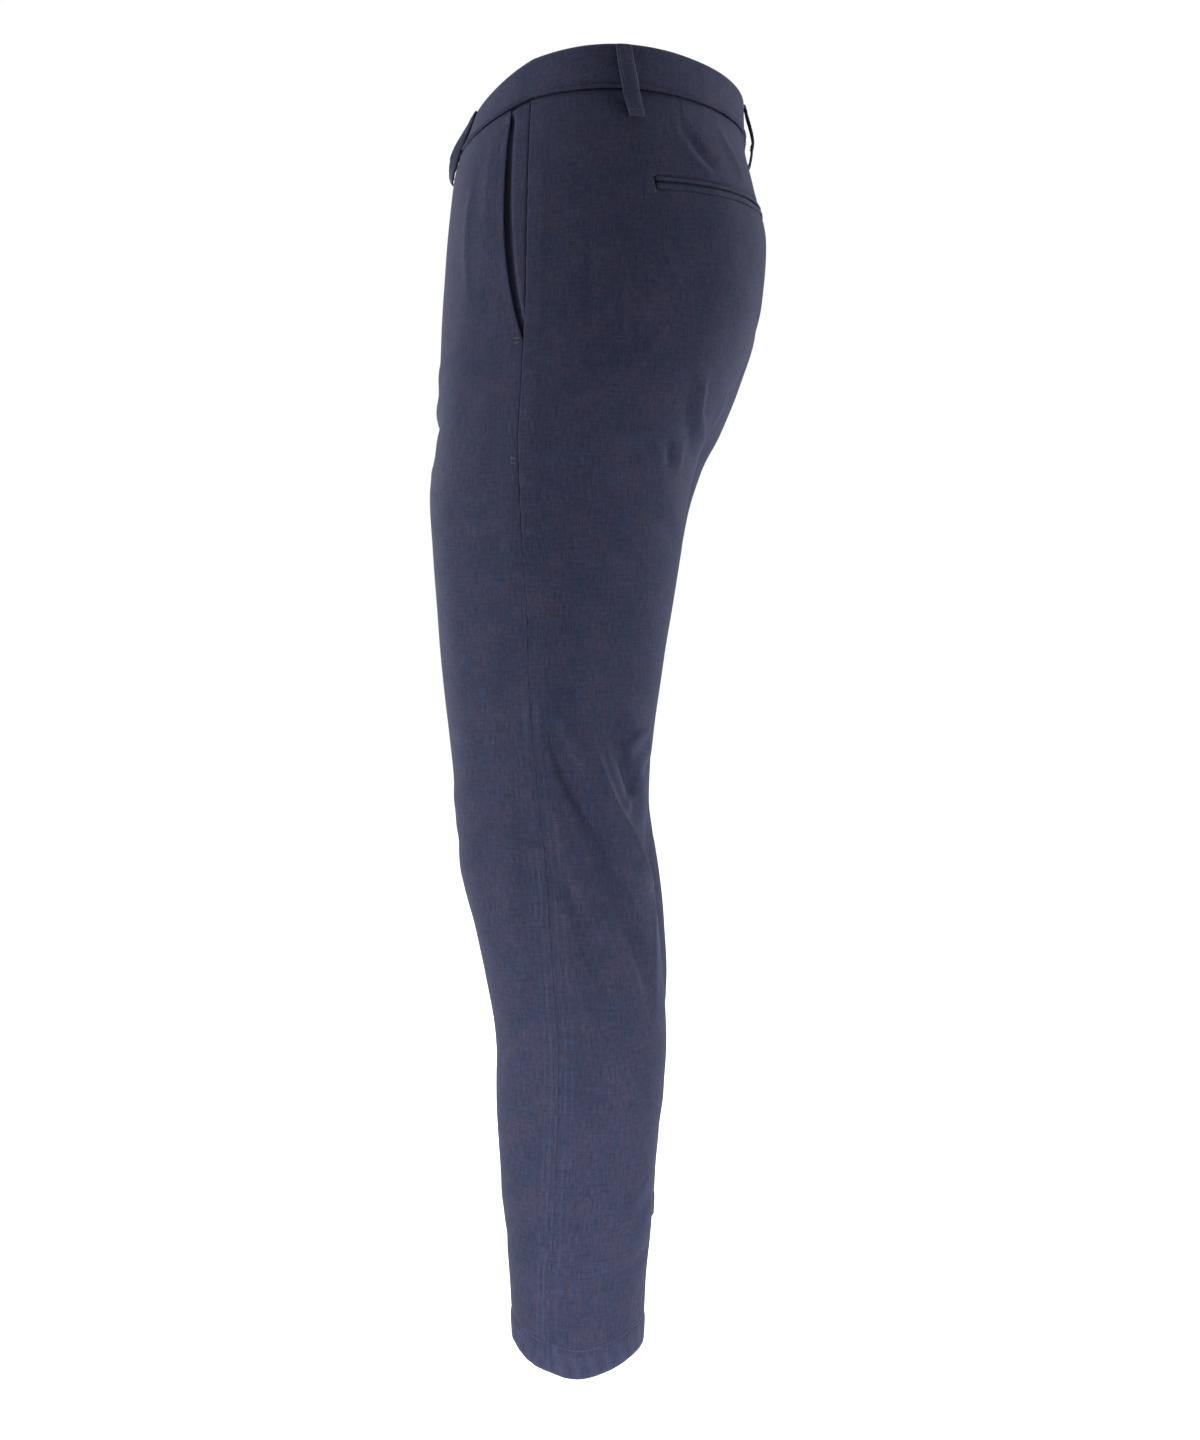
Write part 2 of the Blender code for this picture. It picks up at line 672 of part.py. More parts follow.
def main():
    for obj in list(bpy.data.objects):
        bpy.data.objects.remove(obj)
    cloth = material("navy_cotton", (0.035, 0.04, 0.072), 0.9)
    horn = material("navy_horn", (0.02, 0.022, 0.035), 0.4)

    left_front = front_panel()
    sheet("left_front", left_front, CLOTH, cloth)
    sheet("right_front", mirrored(left_front), CLOTH, cloth)
    left_back, right_back = back_panel(LEFT_FOLDS), mirrored(back_panel(RIGHT_FOLDS))
    sheet("left_back", left_back, CLOTH, cloth, welt_window(right=False))
    sheet("right_back", right_back, CLOTH, cloth, welt_window(right=True))

    strip = facing()
    sheet("left_pocket_facing", strip, CLOTH, cloth)
    sheet("right_pocket_facing", mirrored(strip), CLOTH, cloth)

    middle = (WELT_TOP_Z + WELT_BOTTOM_Z) / 2
    upper = welt(WELT_TOP_Z - SEAM_GAP, middle + WELT_SLOT / 2)
    lower = welt(middle - WELT_SLOT / 2, WELT_BOTTOM_Z + SEAM_GAP)
    sheet("left_back_welt_upper", upper, WELT_CLOTH, cloth)
    sheet("left_back_welt_lower", lower, WELT_CLOTH, cloth)
    sheet("right_back_welt_upper", mirrored(upper), WELT_CLOTH, cloth)
    sheet("right_back_welt_lower", mirrored(lower), WELT_CLOTH, cloth)

    sheet("waistband_left", band(with_underlap=False), BAND_CLOTH, cloth)
    sheet("waistband_right", mirrored(band(with_underlap=True)), BAND_CLOTH, cloth)
    sheet("fly_underlap", fly_underlap(), CLOTH, cloth)

    front = loop(False, FRONT_LOOP_PLACE, FRONT_LOOP_CLEARANCE)
    side = loop(True, SIDE_LOOP_PLACE, LOOP_CLEARANCE)
    centre = loop(True, 0.0, LOOP_CLEARANCE)
    sheet("belt_loop_left_front", front, LOOP_CLOTH, cloth, outward=True)
    sheet("belt_loop_right_front", mirrored(front), LOOP_CLOTH, cloth, outward=True)
    sheet("belt_loop_left_side", side, LOOP_CLOTH, cloth, outward=True)
    sheet("belt_loop_right_side", mirrored(side), LOOP_CLOTH, cloth, outward=True)
    sheet("belt_loop_centre_back", centre, LOOP_CLOTH, cloth, outward=True)

    centre, outward = button_place()
    button("waist_button", centre, outward, horn)


main()
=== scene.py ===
"""Slim ankle-length chinos in navy cotton twill, filled out as worn, with nobody in them.

The frame is the part's own: metres, +Z up, -Y to the front, +X to the wearer's left. Cloth is
worked out in millimetres, as grids of points on the surface of each cut piece.
"""

import math
from collections import namedtuple

import bmesh
import bpy
import numpy as np
from mathutils import Matrix, Vector


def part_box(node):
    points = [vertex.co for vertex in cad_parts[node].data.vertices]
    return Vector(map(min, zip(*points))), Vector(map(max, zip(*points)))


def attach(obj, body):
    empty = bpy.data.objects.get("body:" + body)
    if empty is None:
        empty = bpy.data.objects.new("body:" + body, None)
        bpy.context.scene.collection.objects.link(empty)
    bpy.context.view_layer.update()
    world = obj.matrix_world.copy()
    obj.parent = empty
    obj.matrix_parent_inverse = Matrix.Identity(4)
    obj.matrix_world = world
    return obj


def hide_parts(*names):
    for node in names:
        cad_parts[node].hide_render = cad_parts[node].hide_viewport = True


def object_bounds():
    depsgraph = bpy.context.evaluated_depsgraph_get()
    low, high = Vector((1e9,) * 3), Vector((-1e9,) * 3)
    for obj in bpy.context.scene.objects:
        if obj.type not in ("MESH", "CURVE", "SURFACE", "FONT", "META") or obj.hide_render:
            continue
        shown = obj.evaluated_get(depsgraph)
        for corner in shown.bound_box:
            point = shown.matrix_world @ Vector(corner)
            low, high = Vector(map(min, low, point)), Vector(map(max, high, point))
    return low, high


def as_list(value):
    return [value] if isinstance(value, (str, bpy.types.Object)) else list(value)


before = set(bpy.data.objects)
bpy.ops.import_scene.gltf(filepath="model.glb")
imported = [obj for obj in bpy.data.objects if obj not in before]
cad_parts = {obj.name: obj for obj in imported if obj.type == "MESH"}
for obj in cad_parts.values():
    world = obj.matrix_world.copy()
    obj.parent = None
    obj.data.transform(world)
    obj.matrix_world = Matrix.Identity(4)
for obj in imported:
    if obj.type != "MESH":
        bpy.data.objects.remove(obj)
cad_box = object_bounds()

# ---------------------------------------------------------------------------------------------
# The two fronts. Each is cut in one piece from the waist to the ankle, in a midweight cotton
# twill that has been garment dyed. It is sewn to its back at the outseam and the inseam, and
# its outer corner is cut away for the slant pocket, whose edge is turned and topstitched.
# ---------------------------------------------------------------------------------------------
MM = 0.001
# The twill's thickness, the gap that two pieces keep at a seam, and how far past the middle
# the edges go at a centre seam, so that they are held together.
CLOTH = 1.2
SEAM_GAP, SEAM_HOLD = 0.2, 0.12
WAIST_SIDE_Z, WAIST_FRONT_Z, WAIST_BACK_Z = -34.5, -59.0, -29.0
FORK_OUTSEAM_Z, FORK_Y, FORK_Z = -300.0, 20.0, -297.0
HEM_Z = -1010.0
HEM_LIFT_REACH = 120.0
RIGHT_LEG_FORWARD = 5.0
POCKET_SET_BACK, POCKET_END_Z, POCKET_CURVE, POCKET_GAPE = 21.0, -228.0, 4.0, 2.2
POCKET_STITCH = 6.5
FLY_WIDTH, FLY_END_Z = 34.0, -192.0
ROW_SAMPLES = 200
ROW_PITCH = 3.2

Section = namedtuple(
    "Section", "z out_x out_y front_x front_y back_x back_y in_x in_y seam_y full"
)
# One level of the left side: its outermost, foremost, rearmost and innermost places, where
# the outseam lies, and how full the corners between them are.
SECTIONS = [
    Section(20, 151, 6, 10, -101, 6, 113, 0, 0, -54, 0.45),
    Section(-35, 156, 4, 22, -119, 18, 114, 0, 0, -54, 0.49),
    Section(-80, 165, 4, 38, -129, 46, 121, 0, 0, -54, 0.55),
    Section(-130, 173, 3, 54, -131, 60, 131, 0, 0, -54, 0.58),
    Section(-180, 178, 0, 66, -132, 72, 127, 0, 0, -54, 0.58),
    Section(-230, 179, -5, 76, -133, 80, 112, 0, 5, -56, 0.57),
    Section(-270, 178, -12, 83, -134, 86, 95, 0, 15, -58, 0.56),
    Section(-305, 175, -22, 87, -136, 88, 77, 1, 10, -60, 0.552),
    Section(-340, 171, -31, 88, -140, 88, 67, 6, -8, -59, 0.552),
    Section(-385, 168, -34, 89, -137, 89, 61, 12, -18, -57, 0.552),
    Section(-430, 165, -36, 90, -134, 90, 54, 17, -24, -54, 0.552),
    Section(-480, 162, -38, 91, -130, 92, 46, 22, -28, -53, 0.552),
    Section(-530, 159, -39, 93, -124, 94, 39, 29, -31, -50, 0.552),
    Section(-575, 157, -39, 95, -119, 96, 35, 35, -33, -46, 0.552),
    Section(-610, 156, -38, 97, -117, 97, 34, 39, -33, -42, 0.552),
    Section(-645, 156, -34, 98, -112, 99, 38, 41, -30, -39, 0.552),
    Section(-680, 157, -29, 100, -103, 101, 43, 44, -26, -37, 0.552),
    Section(-720, 158, -23, 102, -94, 103, 47, 47, -21, -34, 0.552),
    Section(-770, 160, -18, 105, -85, 106, 50, 51, -17, -30.5, 0.552),
    Section(-815, 161, -18, 108, -84, 108, 47, 55, -17, -31, 0.552),
    Section(-865, 163, -20, 111, -81, 111, 41, 60, -19, -33, 0.55),
    Section(-915, 164, -20, 114, -77, 114, 38, 64, -19, -35, 0.54),
    Section(-965, 165, -20, 116, -73, 116, 34, 67, -19, -37, 0.52),
    Section(-1020, 166, -20, 118, -70, 118, 32, 69, -19, -37, 0.50),
]
Rise = namedtuple("Rise", "y z")
# The centre seams, from the waist seam down to the fork
FRONT_RISE = [
    Rise(-121, WAIST_FRONT_Z), Rise(-130, -100), Rise(-132, -150), Rise(-129, -195),
    Rise(-117, -234), Rise(-92, -266), Rise(-52, -288), Rise(-14, -296), Rise(FORK_Y, FORK_Z),
]
BACK_RISE = [
    Rise(113, WAIST_BACK_Z), Rise(118, -70), Rise(124, -115), Rise(125, -155),
    Rise(119, -195), Rise(106, -230), Rise(86, -262), Rise(54, -286), Rise(FORK_Y, FORK_Z),
]
Lift = namedtuple("Lift", "share height")
# How far the hem's edge rises, by the share of the way from the outseam to the inseam
HEM_FRONT = [Lift(0, 5), Lift(0.14, 8), Lift(0.32, 15), Lift(0.6, 17), Lift(1, 12)]
HEM_BACK = [Lift(0, 5), Lift(0.14, 1), Lift(0.26, 3), Lift(0.42, 7), Lift(1, 12)]
HEM_DEPTH = 21.0

Fold = namedtuple("Fold", "height near far peak line")
# Creases and folds. The line is a row of places: the distance from the outseam, and z. A fold
# runs down its line, or away from the outseam if it lies across. Near is its half-width on
# the outseam's side or below, far on the other, and peak is where along the line it is
# highest. A height under 0 is a trough.
LEFT_FRONT_FOLDS = [
    Fold(0.5, 3, 3, 0.4, [(2, -503), (26, -505), (52, -508)]),
    Fold(0.6, 4, 5, 0.5, [(10, -306), (24, -312), (44, -322)]),
    Fold(-0.6, 6, 4, 0.5, [(8, -314), (26, -322), (42, -334)]),
    Fold(1.4, 3, 4, 0.4, [(60, -92), (63, -145), (56, -196)]),
    Fold(-0.5, 5, 5, 0.5, [(52, -74), (50, -120), (46, -170)]),
    Fold(0.6, 5, 4, 0.3, [(38, -64), (40, -96), (37, -150)]),
    Fold(3.0, 8, 7, 0.6, [(96, -262), (134, -276), (168, -296)]),
    Fold(-3.2, 7, 6, 0.6, [(84, -280), (122, -290), (160, -312)]),
    Fold(2.2, 7, 6, 0.5, [(104, -316), (136, -324), (166, -338)]),
    Fold(1.4, 9, 7, 0.5, [(70, -236), (100, -240), (128, -254)]),
    Fold(1.2, 8, 9, 0.5, [(46, -560), (84, -576), (118, -586)]),
    Fold(-1.3, 9, 8, 0.6, [(38, -588), (80, -608), (120, -618)]),
    Fold(0.8, 8, 8, 0.4, [(58, -622), (86, -634), (112, -640)]),
    Fold(-0.9, 10, 9, 0.5, [(30, -762), (60, -776), (92, -784)]),
    Fold(0.7, 9, 9, 0.5, [(18, -872), (52, -884), (88, -890)]),
    Fold(-0.9, 8, 7, 0.6, [(26, -908), (64, -918), (104, -920)]),
    Fold(0.7, 5, 8, 0.4, [(20, -560), (24, -620), (34, -690)]),
    Fold(-0.6, 8, 8, 0.5, [(42, -600), (44, -660), (50, -720)]),
    Fold(0.5, 6, 7, 0.5, [(16, -740), (22, -800), (20, -860)]),
]
RIGHT_FRONT_FOLDS = [
    Fold(2.6, 8, 7, 0.6, [(90, -266), (128, -278), (166, -298)]),
    Fold(-3.0, 7, 6, 0.5, [(88, -286), (126, -298), (164, -318)]),
    Fold(1.8, 6, 6, 0.5, [(110, -322), (138, -328), (164, -342)]),
    Fold(1.6, 9, 7, 0.4, [(66, -228), (98, -234), (132, -250)]),
    Fold(1.2, 4, 5, 0.4, [(58, -84), (60, -140), (52, -188)]),
    Fold(-1.2, 5, 5, 0.5, [(44, -80), (46, -124), (40, -166)]),
    Fold(2.0, 9, 8, 0.5, [(40, -548), (76, -566), (112, -576)]),
    Fold(-2.8, 8, 9, 0.5, [(44, -578), (84, -596), (126, -606)]),
    Fold(1.8, 9, 8, 0.5, [(52, -630), (78, -642), (104, -650)]),
    Fold(-1.6, 11, 9, 0.5, [(22, -742), (58, -760), (96, -768)]),
    Fold(1.6, 8, 8, 0.6, [(24, -860), (60, -876), (96, -884)]),
    Fold(-1.6, 9, 8, 0.5, [(20, -902), (54, -910), (90, -914)]),
    Fold(1.4, 6, 8, 0.5, [(22, -570), (28, -640), (36, -710)]),
]


def ease(share):
    """A smooth rise from 0 to 1."""
    share = np.clip(share, 0.0, 1.0)
    return share * share * (3 - 2 * share)


def smooth_through(at, values):
    """A function that runs smoothly through the values without overshooting them."""
    at, values = np.array(at, float), np.array(values, float)
    steps = np.diff(at)
    rates = np.diff(values) / steps
    slopes = np.concatenate([rates[:1], np.zeros(len(at) - 2), rates[-1:]])
    same_way = rates[:-1] * rates[1:] > 0
    total = np.where(same_way, rates[:-1] + rates[1:], 1.0)
    slopes[1:-1] = np.where(same_way, 2 * rates[:-1] * rates[1:] / total, 0.0)

    def value(x):
        x = np.clip(x, at[0], at[-1])
        i = np.clip(np.searchsorted(at, x, side="right") - 1, 0, len(at) - 2)
        t = (x - at[i]) / steps[i]
        return (
            values[i] * (1 + 2 * t) * (1 - t) ** 2
            + values[i + 1] * t * t * (3 - 2 * t)
            + steps[i] * t * (1 - t) * (slopes[i] * (1 - t) - slopes[i + 1] * t)
        )

    return value


def columns_of(table, key):
    """Each column of a table as a smooth function of its key column."""
    rising = sorted(table, key=lambda row: getattr(row, key))
    at = [getattr(row, key) for row in rising]
    return {
        name: smooth_through(at, [getattr(row, name) for row in rising])
        for name in table[0]._fields
        if name != key
    }


SECTION_AT = columns_of(SECTIONS, "z")
HEM_FRONT_AT = columns_of(HEM_FRONT, "share")["height"]
HEM_BACK_AT = columns_of(HEM_BACK, "share")["height"]


def run_of(line):
    """The distance along a line of points, at each of them."""
    return np.concatenate([[0.0], np.cumsum(np.linalg.norm(np.diff(line, axis=0), axis=1))])


def rise_line(table):
    """A centre seam's y and z as functions of the distance from the waist, and its length."""
    line = np.array(table, float)
    at = run_of(line)
    return smooth_through(at, line[:, 0]), smooth_through(at, line[:, 1]), at[-1]


FRONT_RISE_Y, FRONT_RISE_AT_Z, FRONT_RISE_LENGTH = rise_line(FRONT_RISE)
BACK_RISE_Y, BACK_RISE_AT_Z, BACK_RISE_LENGTH = rise_line(BACK_RISE)


def cubic(a, b, c, d, t):
    """A Bezier curve's value at t, from its four control values."""
    s = 1 - t
    return a * s**3 + 3 * b * s * s * t + 3 * c * s * t * t + d * t**3


def outer_quarter(at, far, t):
    """From the outermost place to the foremost or the rearmost one, x and y."""
    out_x, out_y, full = at["out_x"], at["out_y"], at["full"]
    far_x, far_y = at[far + "_x"], at[far + "_y"]
    x = cubic(out_x, out_x, far_x + full * (out_x - far_x), far_x, t)
    y = cubic(out_y, out_y + full * (far_y - out_y), far_y, far_y, t)
    return x, y


def seam_turn(at):
    """Where on the outer front quarter the outseam lies, from 0 at the side to 1 in front."""
    low, high = np.zeros_like(at["out_x"]), np.ones_like(at["out_x"])
    for _ in range(24):
        middle = (low + high) / 2
        before = outer_quarter(at, "front", middle)[1] > at["seam_y"]
        low, high = np.where(before, middle, low), np.where(before, high, middle)
    return low


def inner_end(level, back):
    """Where the rows that start on the outseam end: on the centre seam or on the inseam.
    Gives y, z and the crease, which is 1 inside a leg and 0 over the belly."""
    drop = WAIST_SIDE_Z - FORK_OUTSEAM_Z
    share = (WAIST_SIDE_Z - level) / drop
    length = BACK_RISE_LENGTH if back else FRONT_RISE_LENGTH
    distance = drop * share + (length - drop) * np.clip(share, 0, 1) ** 4
    rise_y, rise_z = (BACK_RISE_Y, BACK_RISE_AT_Z) if back else (FRONT_RISE_Y, FRONT_RISE_AT_Z)
    band_z = (WAIST_BACK_Z if back else WAIST_FRONT_Z) + level - WAIST_SIDE_Z
    in_band = share < 0
    leg = level < FORK_OUTSEAM_Z
    leg_z = FORK_Z + (level - FORK_OUTSEAM_Z) / (HEM_Z - FORK_OUTSEAM_Z) * (HEM_Z - FORK_Z)
    near_fork = ease((FORK_OUTSEAM_Z - level) / 40)
    leg_y = FORK_Y + (SECTION_AT["in_y"](leg_z) - FORK_Y) * near_fork
    band_y = SECTION_AT["back_y" if back else "front_y"](level)
    y = np.where(leg, leg_y, np.where(in_band, band_y, rise_y(distance)))
    z = np.where(leg, leg_z, np.where(in_band, band_z, rise_z(distance)))
    crease = np.where(leg, 1.0, np.where(in_band, 0.0, ease((share - 0.45) / 0.55)))
    return y, z, crease


def row_lines(levels, back):
    """Close points round the left side for each level, from the outseam to the inner end."""
    far = "back" if back else "front"
    level = np.array(levels, float)[:, None]
    end_y, end_z, crease = inner_end(level, back)
    leg = level < FORK_OUTSEAM_Z
    at = {name: value(level) for name, value in SECTION_AT.items()}
    turn = seam_turn(at)
    seam = outer_quarter(at, "front", turn)
    far_x, far_y = at[far + "_x"], at[far + "_y"]
    to_seam = np.hypot(seam[0] - at["out_x"], seam[1] - at["out_y"])
    if back:
        outer = to_seam + np.hypot(at["out_x"] - far_x, at["out_y"] - far_y)
    else:
        outer = np.hypot(seam[0] - far_x, seam[1] - far_y)
    in_x = np.where(leg, at["in_x"], 0.0)
    corner = outer / (outer + np.hypot(far_x - in_x, far_y - end_y))

    share = np.linspace(0, 1, ROW_SAMPLES + 1)[None, :]
    z = level + (end_z - level) * (share + share**2 - share**3)
    at = {name: value(z) for name, value in SECTION_AT.items()}
    turn = seam_turn(at)
    in_x = np.where(leg, at["in_x"], 0.0)
    t = np.clip((share - corner) / (1 - corner), 0, 1)
    far_x, far_y, full = at[far + "_x"], at[far + "_y"], at["full"]
    inner_x = cubic(
        far_x, far_x + full * (in_x - far_x), in_x + full * (far_x - in_x) * (1 - crease), in_x, t
    )
    inner_y = cubic(far_y, far_y, end_y + full * (far_y - end_y) * crease, end_y, t)
    if back:
        place = share / corner * (1 + turn) - turn
        before = outer_quarter(at, "front", np.clip(-place, 0, 1))
        behind = outer_quarter(at, "back", np.clip(place, 0, 1))
        outer_x = np.where(place < 0, before[0], behind[0])
        outer_y = np.where(place < 0, before[1], behind[1])
    else:
        outer_x, outer_y = outer_quarter(at, far, np.clip(turn + share / corner * (1 - turn), 0, 1))
    x = np.maximum(np.where(share > corner, inner_x, outer_x), SEAM_GAP / 2)
    y = np.where(share > corner, inner_y, outer_y)
    near_hem = ease((HEM_Z + HEM_LIFT_REACH - level) / HEM_LIFT_REACH)
    lift = near_hem * (HEM_BACK_AT if back else HEM_FRONT_AT)(share)
    return np.stack([x, y, z + lift], axis=-1)


def points_at(here, at, line):
    """The points of a line at these distances along it, where at gives its own points'."""
    return np.stack([np.interp(here, at, line[:, k]) for k in range(3)], axis=-1)


Cloth = namedtuple("Cloth", "points s e level")


def cloth(levels, back, places):
    """A grid of points on the left side. places(level, length) gives the distances of one
    row's points from the outseam. Columns run from the centre front round to the back."""
    points, s, e = [], [], []
    for level, line in zip(levels, row_lines(levels, back)):
        at = run_of(line)
        here = np.array(places(level, at[-1]), float)
        points.append(points_at(here, at, line))
        s.append(here)
        e.append(at[-1] - here)
    level = np.repeat(np.array(levels, float)[:, None], len(s[0]), axis=1)
    return Cloth(np.array(points), np.array(s), np.array(e), level)


def moved_out(points, height):
    """The grid with each point moved along its outward normal."""
    down, across = np.gradient(points, axis=0), np.gradient(points, axis=1)
    normal = np.cross(down, across)
    normal /= np.linalg.norm(normal, axis=-1, keepdims=True)
    return points + normal * np.broadcast_to(height, points.shape[:2])[..., None]


def seamed(points, column):
    """The grid with its centre seam's edge sewn hard against the other side's."""
    above_fork = points[:, column, 2] > FORK_Z - 2
    sewn = np.where(above_fork, -SEAM_HOLD, points[:, column, 0])
    points[:, column, 0] = sewn
    return points


def mirrored(points):
    """The same on the right, whose knee is a little in front of the left one."""
    z = points[..., 2]
    knee = ease((FORK_Z - z) / 120) * ease((z + 940) / 120)
    moved = points * (-1, 1, 1)
    moved[..., 1] -= RIGHT_LEG_FORWARD * knee
    return moved[:, ::-1]


def refined(stops, pitch):
    """The stops with evenly spaced values put in between them."""
    found = [stops[0]]
    for a, b in zip(stops, stops[1:]):
        count = max(1, round(abs(b - a) / pitch))
        found += [a + (b - a) * k / count for k in range(1, count + 1)]
    return found


def edge_dense(count):
    """Shares of a width, closer together near both edges."""
    share = np.linspace(0, 1, count)
    return share - 0.8 * np.sin(2 * np.pi * share) / (2 * np.pi)


def bell(distance, width):
    """A smooth hump of height 1, which is down to a third of it one width away."""
    return np.exp(-((distance / width) ** 2))


def folds_height(folds, s, z):
    """How far the folds together raise each point of a grid, in millimetres."""
    total = np.zeros_like(s)
    for fold in folds:
        knots = np.array(fold.line, float)
        at = run_of(knots)
        fine = np.linspace(0, at[-1], 48)
        path = np.stack([smooth_through(at, knots[:, k])(fine) for k in (0, 1)], axis=-1)
        heading = np.gradient(path, axis=0)
        heading /= np.linalg.norm(heading, axis=1, keepdims=True)
        reach = 3 * max(fold.near, fold.far)
        low, high = path.min(axis=0) - reach, path.max(axis=0) + reach
        close = (s > low[0]) & (s < high[0]) & (z > low[1]) & (z < high[1])
        ds, dz = s[close][:, None] - path[:, 0], z[close][:, None] - path[:, 1]
        nearest = np.argmin(ds * ds + dz * dz, axis=1)
        each = np.arange(len(nearest))
        ds, dz = ds[each, nearest], dz[each, nearest]
        aside = dz * heading[nearest, 0] - ds * heading[nearest, 1]
        width = np.where(aside < 0, fold.near, fold.far)
        along = (nearest / (len(fine) - 1)) ** (math.log(0.5) / math.log(fold.peak))
        total[close] += fold.height * bell(aside, width) * np.sin(np.pi * along)
    return total


def pucker(z, seed):
    """The uneven gathers that thread tension leaves along a seam, 10 to 18 mm apart."""
    wander = 1.7 * np.sin(z / 31 + seed) + 1.1 * np.sin(z / 13.7 + 2.3 * seed)
    swell = 0.55 + 0.45 * np.sin(z / 67 + 1.9 * seed) * np.sin(z / 23 + seed)
    return np.sin(z * 2 * np.pi / 14.0 + wander) * swell


def unevenness(s, z, seed):
    """The slow unevenness of cloth that hangs free, within 1 mm."""
    return (
        0.45 * np.sin(s / 31 + z / 83 + seed) * np.sin(z / 57 - s / 71 + 2 * seed)
        + 0.25 * np.sin(s / 17 - z / 29 + 3 * seed)
        + 0.14 * np.sin(s / 9.1 + z / 15.3 + 5 * seed) * np.sin(z / 37 + seed)
    )


def roping(up, s, seed):
    """The slanting ropes of a washed hem, 11 mm apart, from -1 to 1."""
    return np.sin(s * 2 * np.pi / 11 + up / 7 + 1.5 * np.sin(s / 19 + seed))


def hem_relief(level, s, seed):
    """The turned hem: thicker below its stitches, drawn in along them, roped at the edge."""
    up = level - HEM_Z
    turned = 0.45 * ease((HEM_DEPTH + 2 - up) / 3)
    line = -0.9 * bell(up - HEM_DEPTH, 1.8)
    return turned + line + 0.28 * roping(up, s, seed) * bell(up - 10, 9)


def hem_wear(level, s, seed):
    """The turned hem rubs pale in patches, most along its roping."""
    up = level - HEM_Z
    return 0.24 * ease((HEM_DEPTH - 1 - up) / 4) * (0.6 + 0.4 * roping(up, s, seed))


def allowance(distance, width=15.0):
    """The step where a seam's pressed-open allowance ends under the cloth."""
    return 0.38 * ease((width + 1.5 - distance) / 3)


def rolled(distance, depth=0.7, reach=1.3):
    """Cloth turning inwards into a seam."""
    return -depth * bell(distance, reach)


def linear(hex_colour):
    """An sRGB hex colour as the linear values that a shader takes."""
    channels = [int(hex_colour[i : i + 2], 16) / 255 for i in (1, 3, 5)]
    return [c / 12.92 if c <= 0.04045 else ((c + 0.055) / 1.055) ** 2.4 for c in channels] + [1]


def add_node(tree, kind, links=(), values=(), **settings):
    """A node of this kind with its settings, its sockets' values, and the links into it."""
    made = tree.nodes.new("ShaderNode" + kind)
    for name, value in settings.items():
        setattr(made, name, value)
    for socket, value in dict(values).items():
        made.inputs[socket].default_value = value
    for socket, source in dict(links).items():
        tree.links.new(source, made.inputs[socket])
    return made


def new_finish(name, values):
    """A material, its node tree, and its surface shader with these values on its sockets."""
    made = bpy.data.materials.new(name)
    made.use_nodes = True
    surface = made.node_tree.nodes["Principled BSDF"]
    for socket, value in values.items():
        surface.inputs[socket].default_value = value
    return made, made.node_tree, surface


def noise(tree, place, scale, detail, stretch=(), distortion=0.0):
    """A noise pattern's value. stretch scales each axis of the place first."""
    if stretch:
        place = add_node(tree, "Mapping", {"Vector": place}, {"Scale": stretch}).outputs[0]
    values = {"Scale": scale, "Detail": detail, "Distortion": distortion}
    return add_node(tree, "TexNoise", {"Vector": place}, values).outputs["Fac"]


def spread(tree, value, low, high, to_low=0.0, to_high=1.0):
    """A value between low and high, spread over another range."""
    values = {"From Min": low, "From Max": high, "To Min": to_low, "To Max": to_high}
    return add_node(tree, "MapRange", {"Value": value}, values).outputs["Result"]


def mixed(tree, share, first, second, blend="MIX"):
    """Two colours mixed by a share, where each of the three is a socket or a value."""
    links, values = {}, {}
    for socket, given in ((0, share), (6, first), (7, second)):
        (links if isinstance(given, bpy.types.NodeSocket) else values)[socket] = given
    made = add_node(tree, "Mix", links, values, data_type="RGBA", blend_type=blend)
    return made.outputs[2]


def product(tree, first, second):
    """Two values multiplied."""
    return add_node(tree, "Math", {0: first, 1: second}, operation="MULTIPLY").outputs[0]


def placed(name, data):
    """An object in the scene that holds this mesh, light or camera."""
    made = bpy.data.objects.new(name, data)
    bpy.context.scene.collection.objects.link(made)
    return made


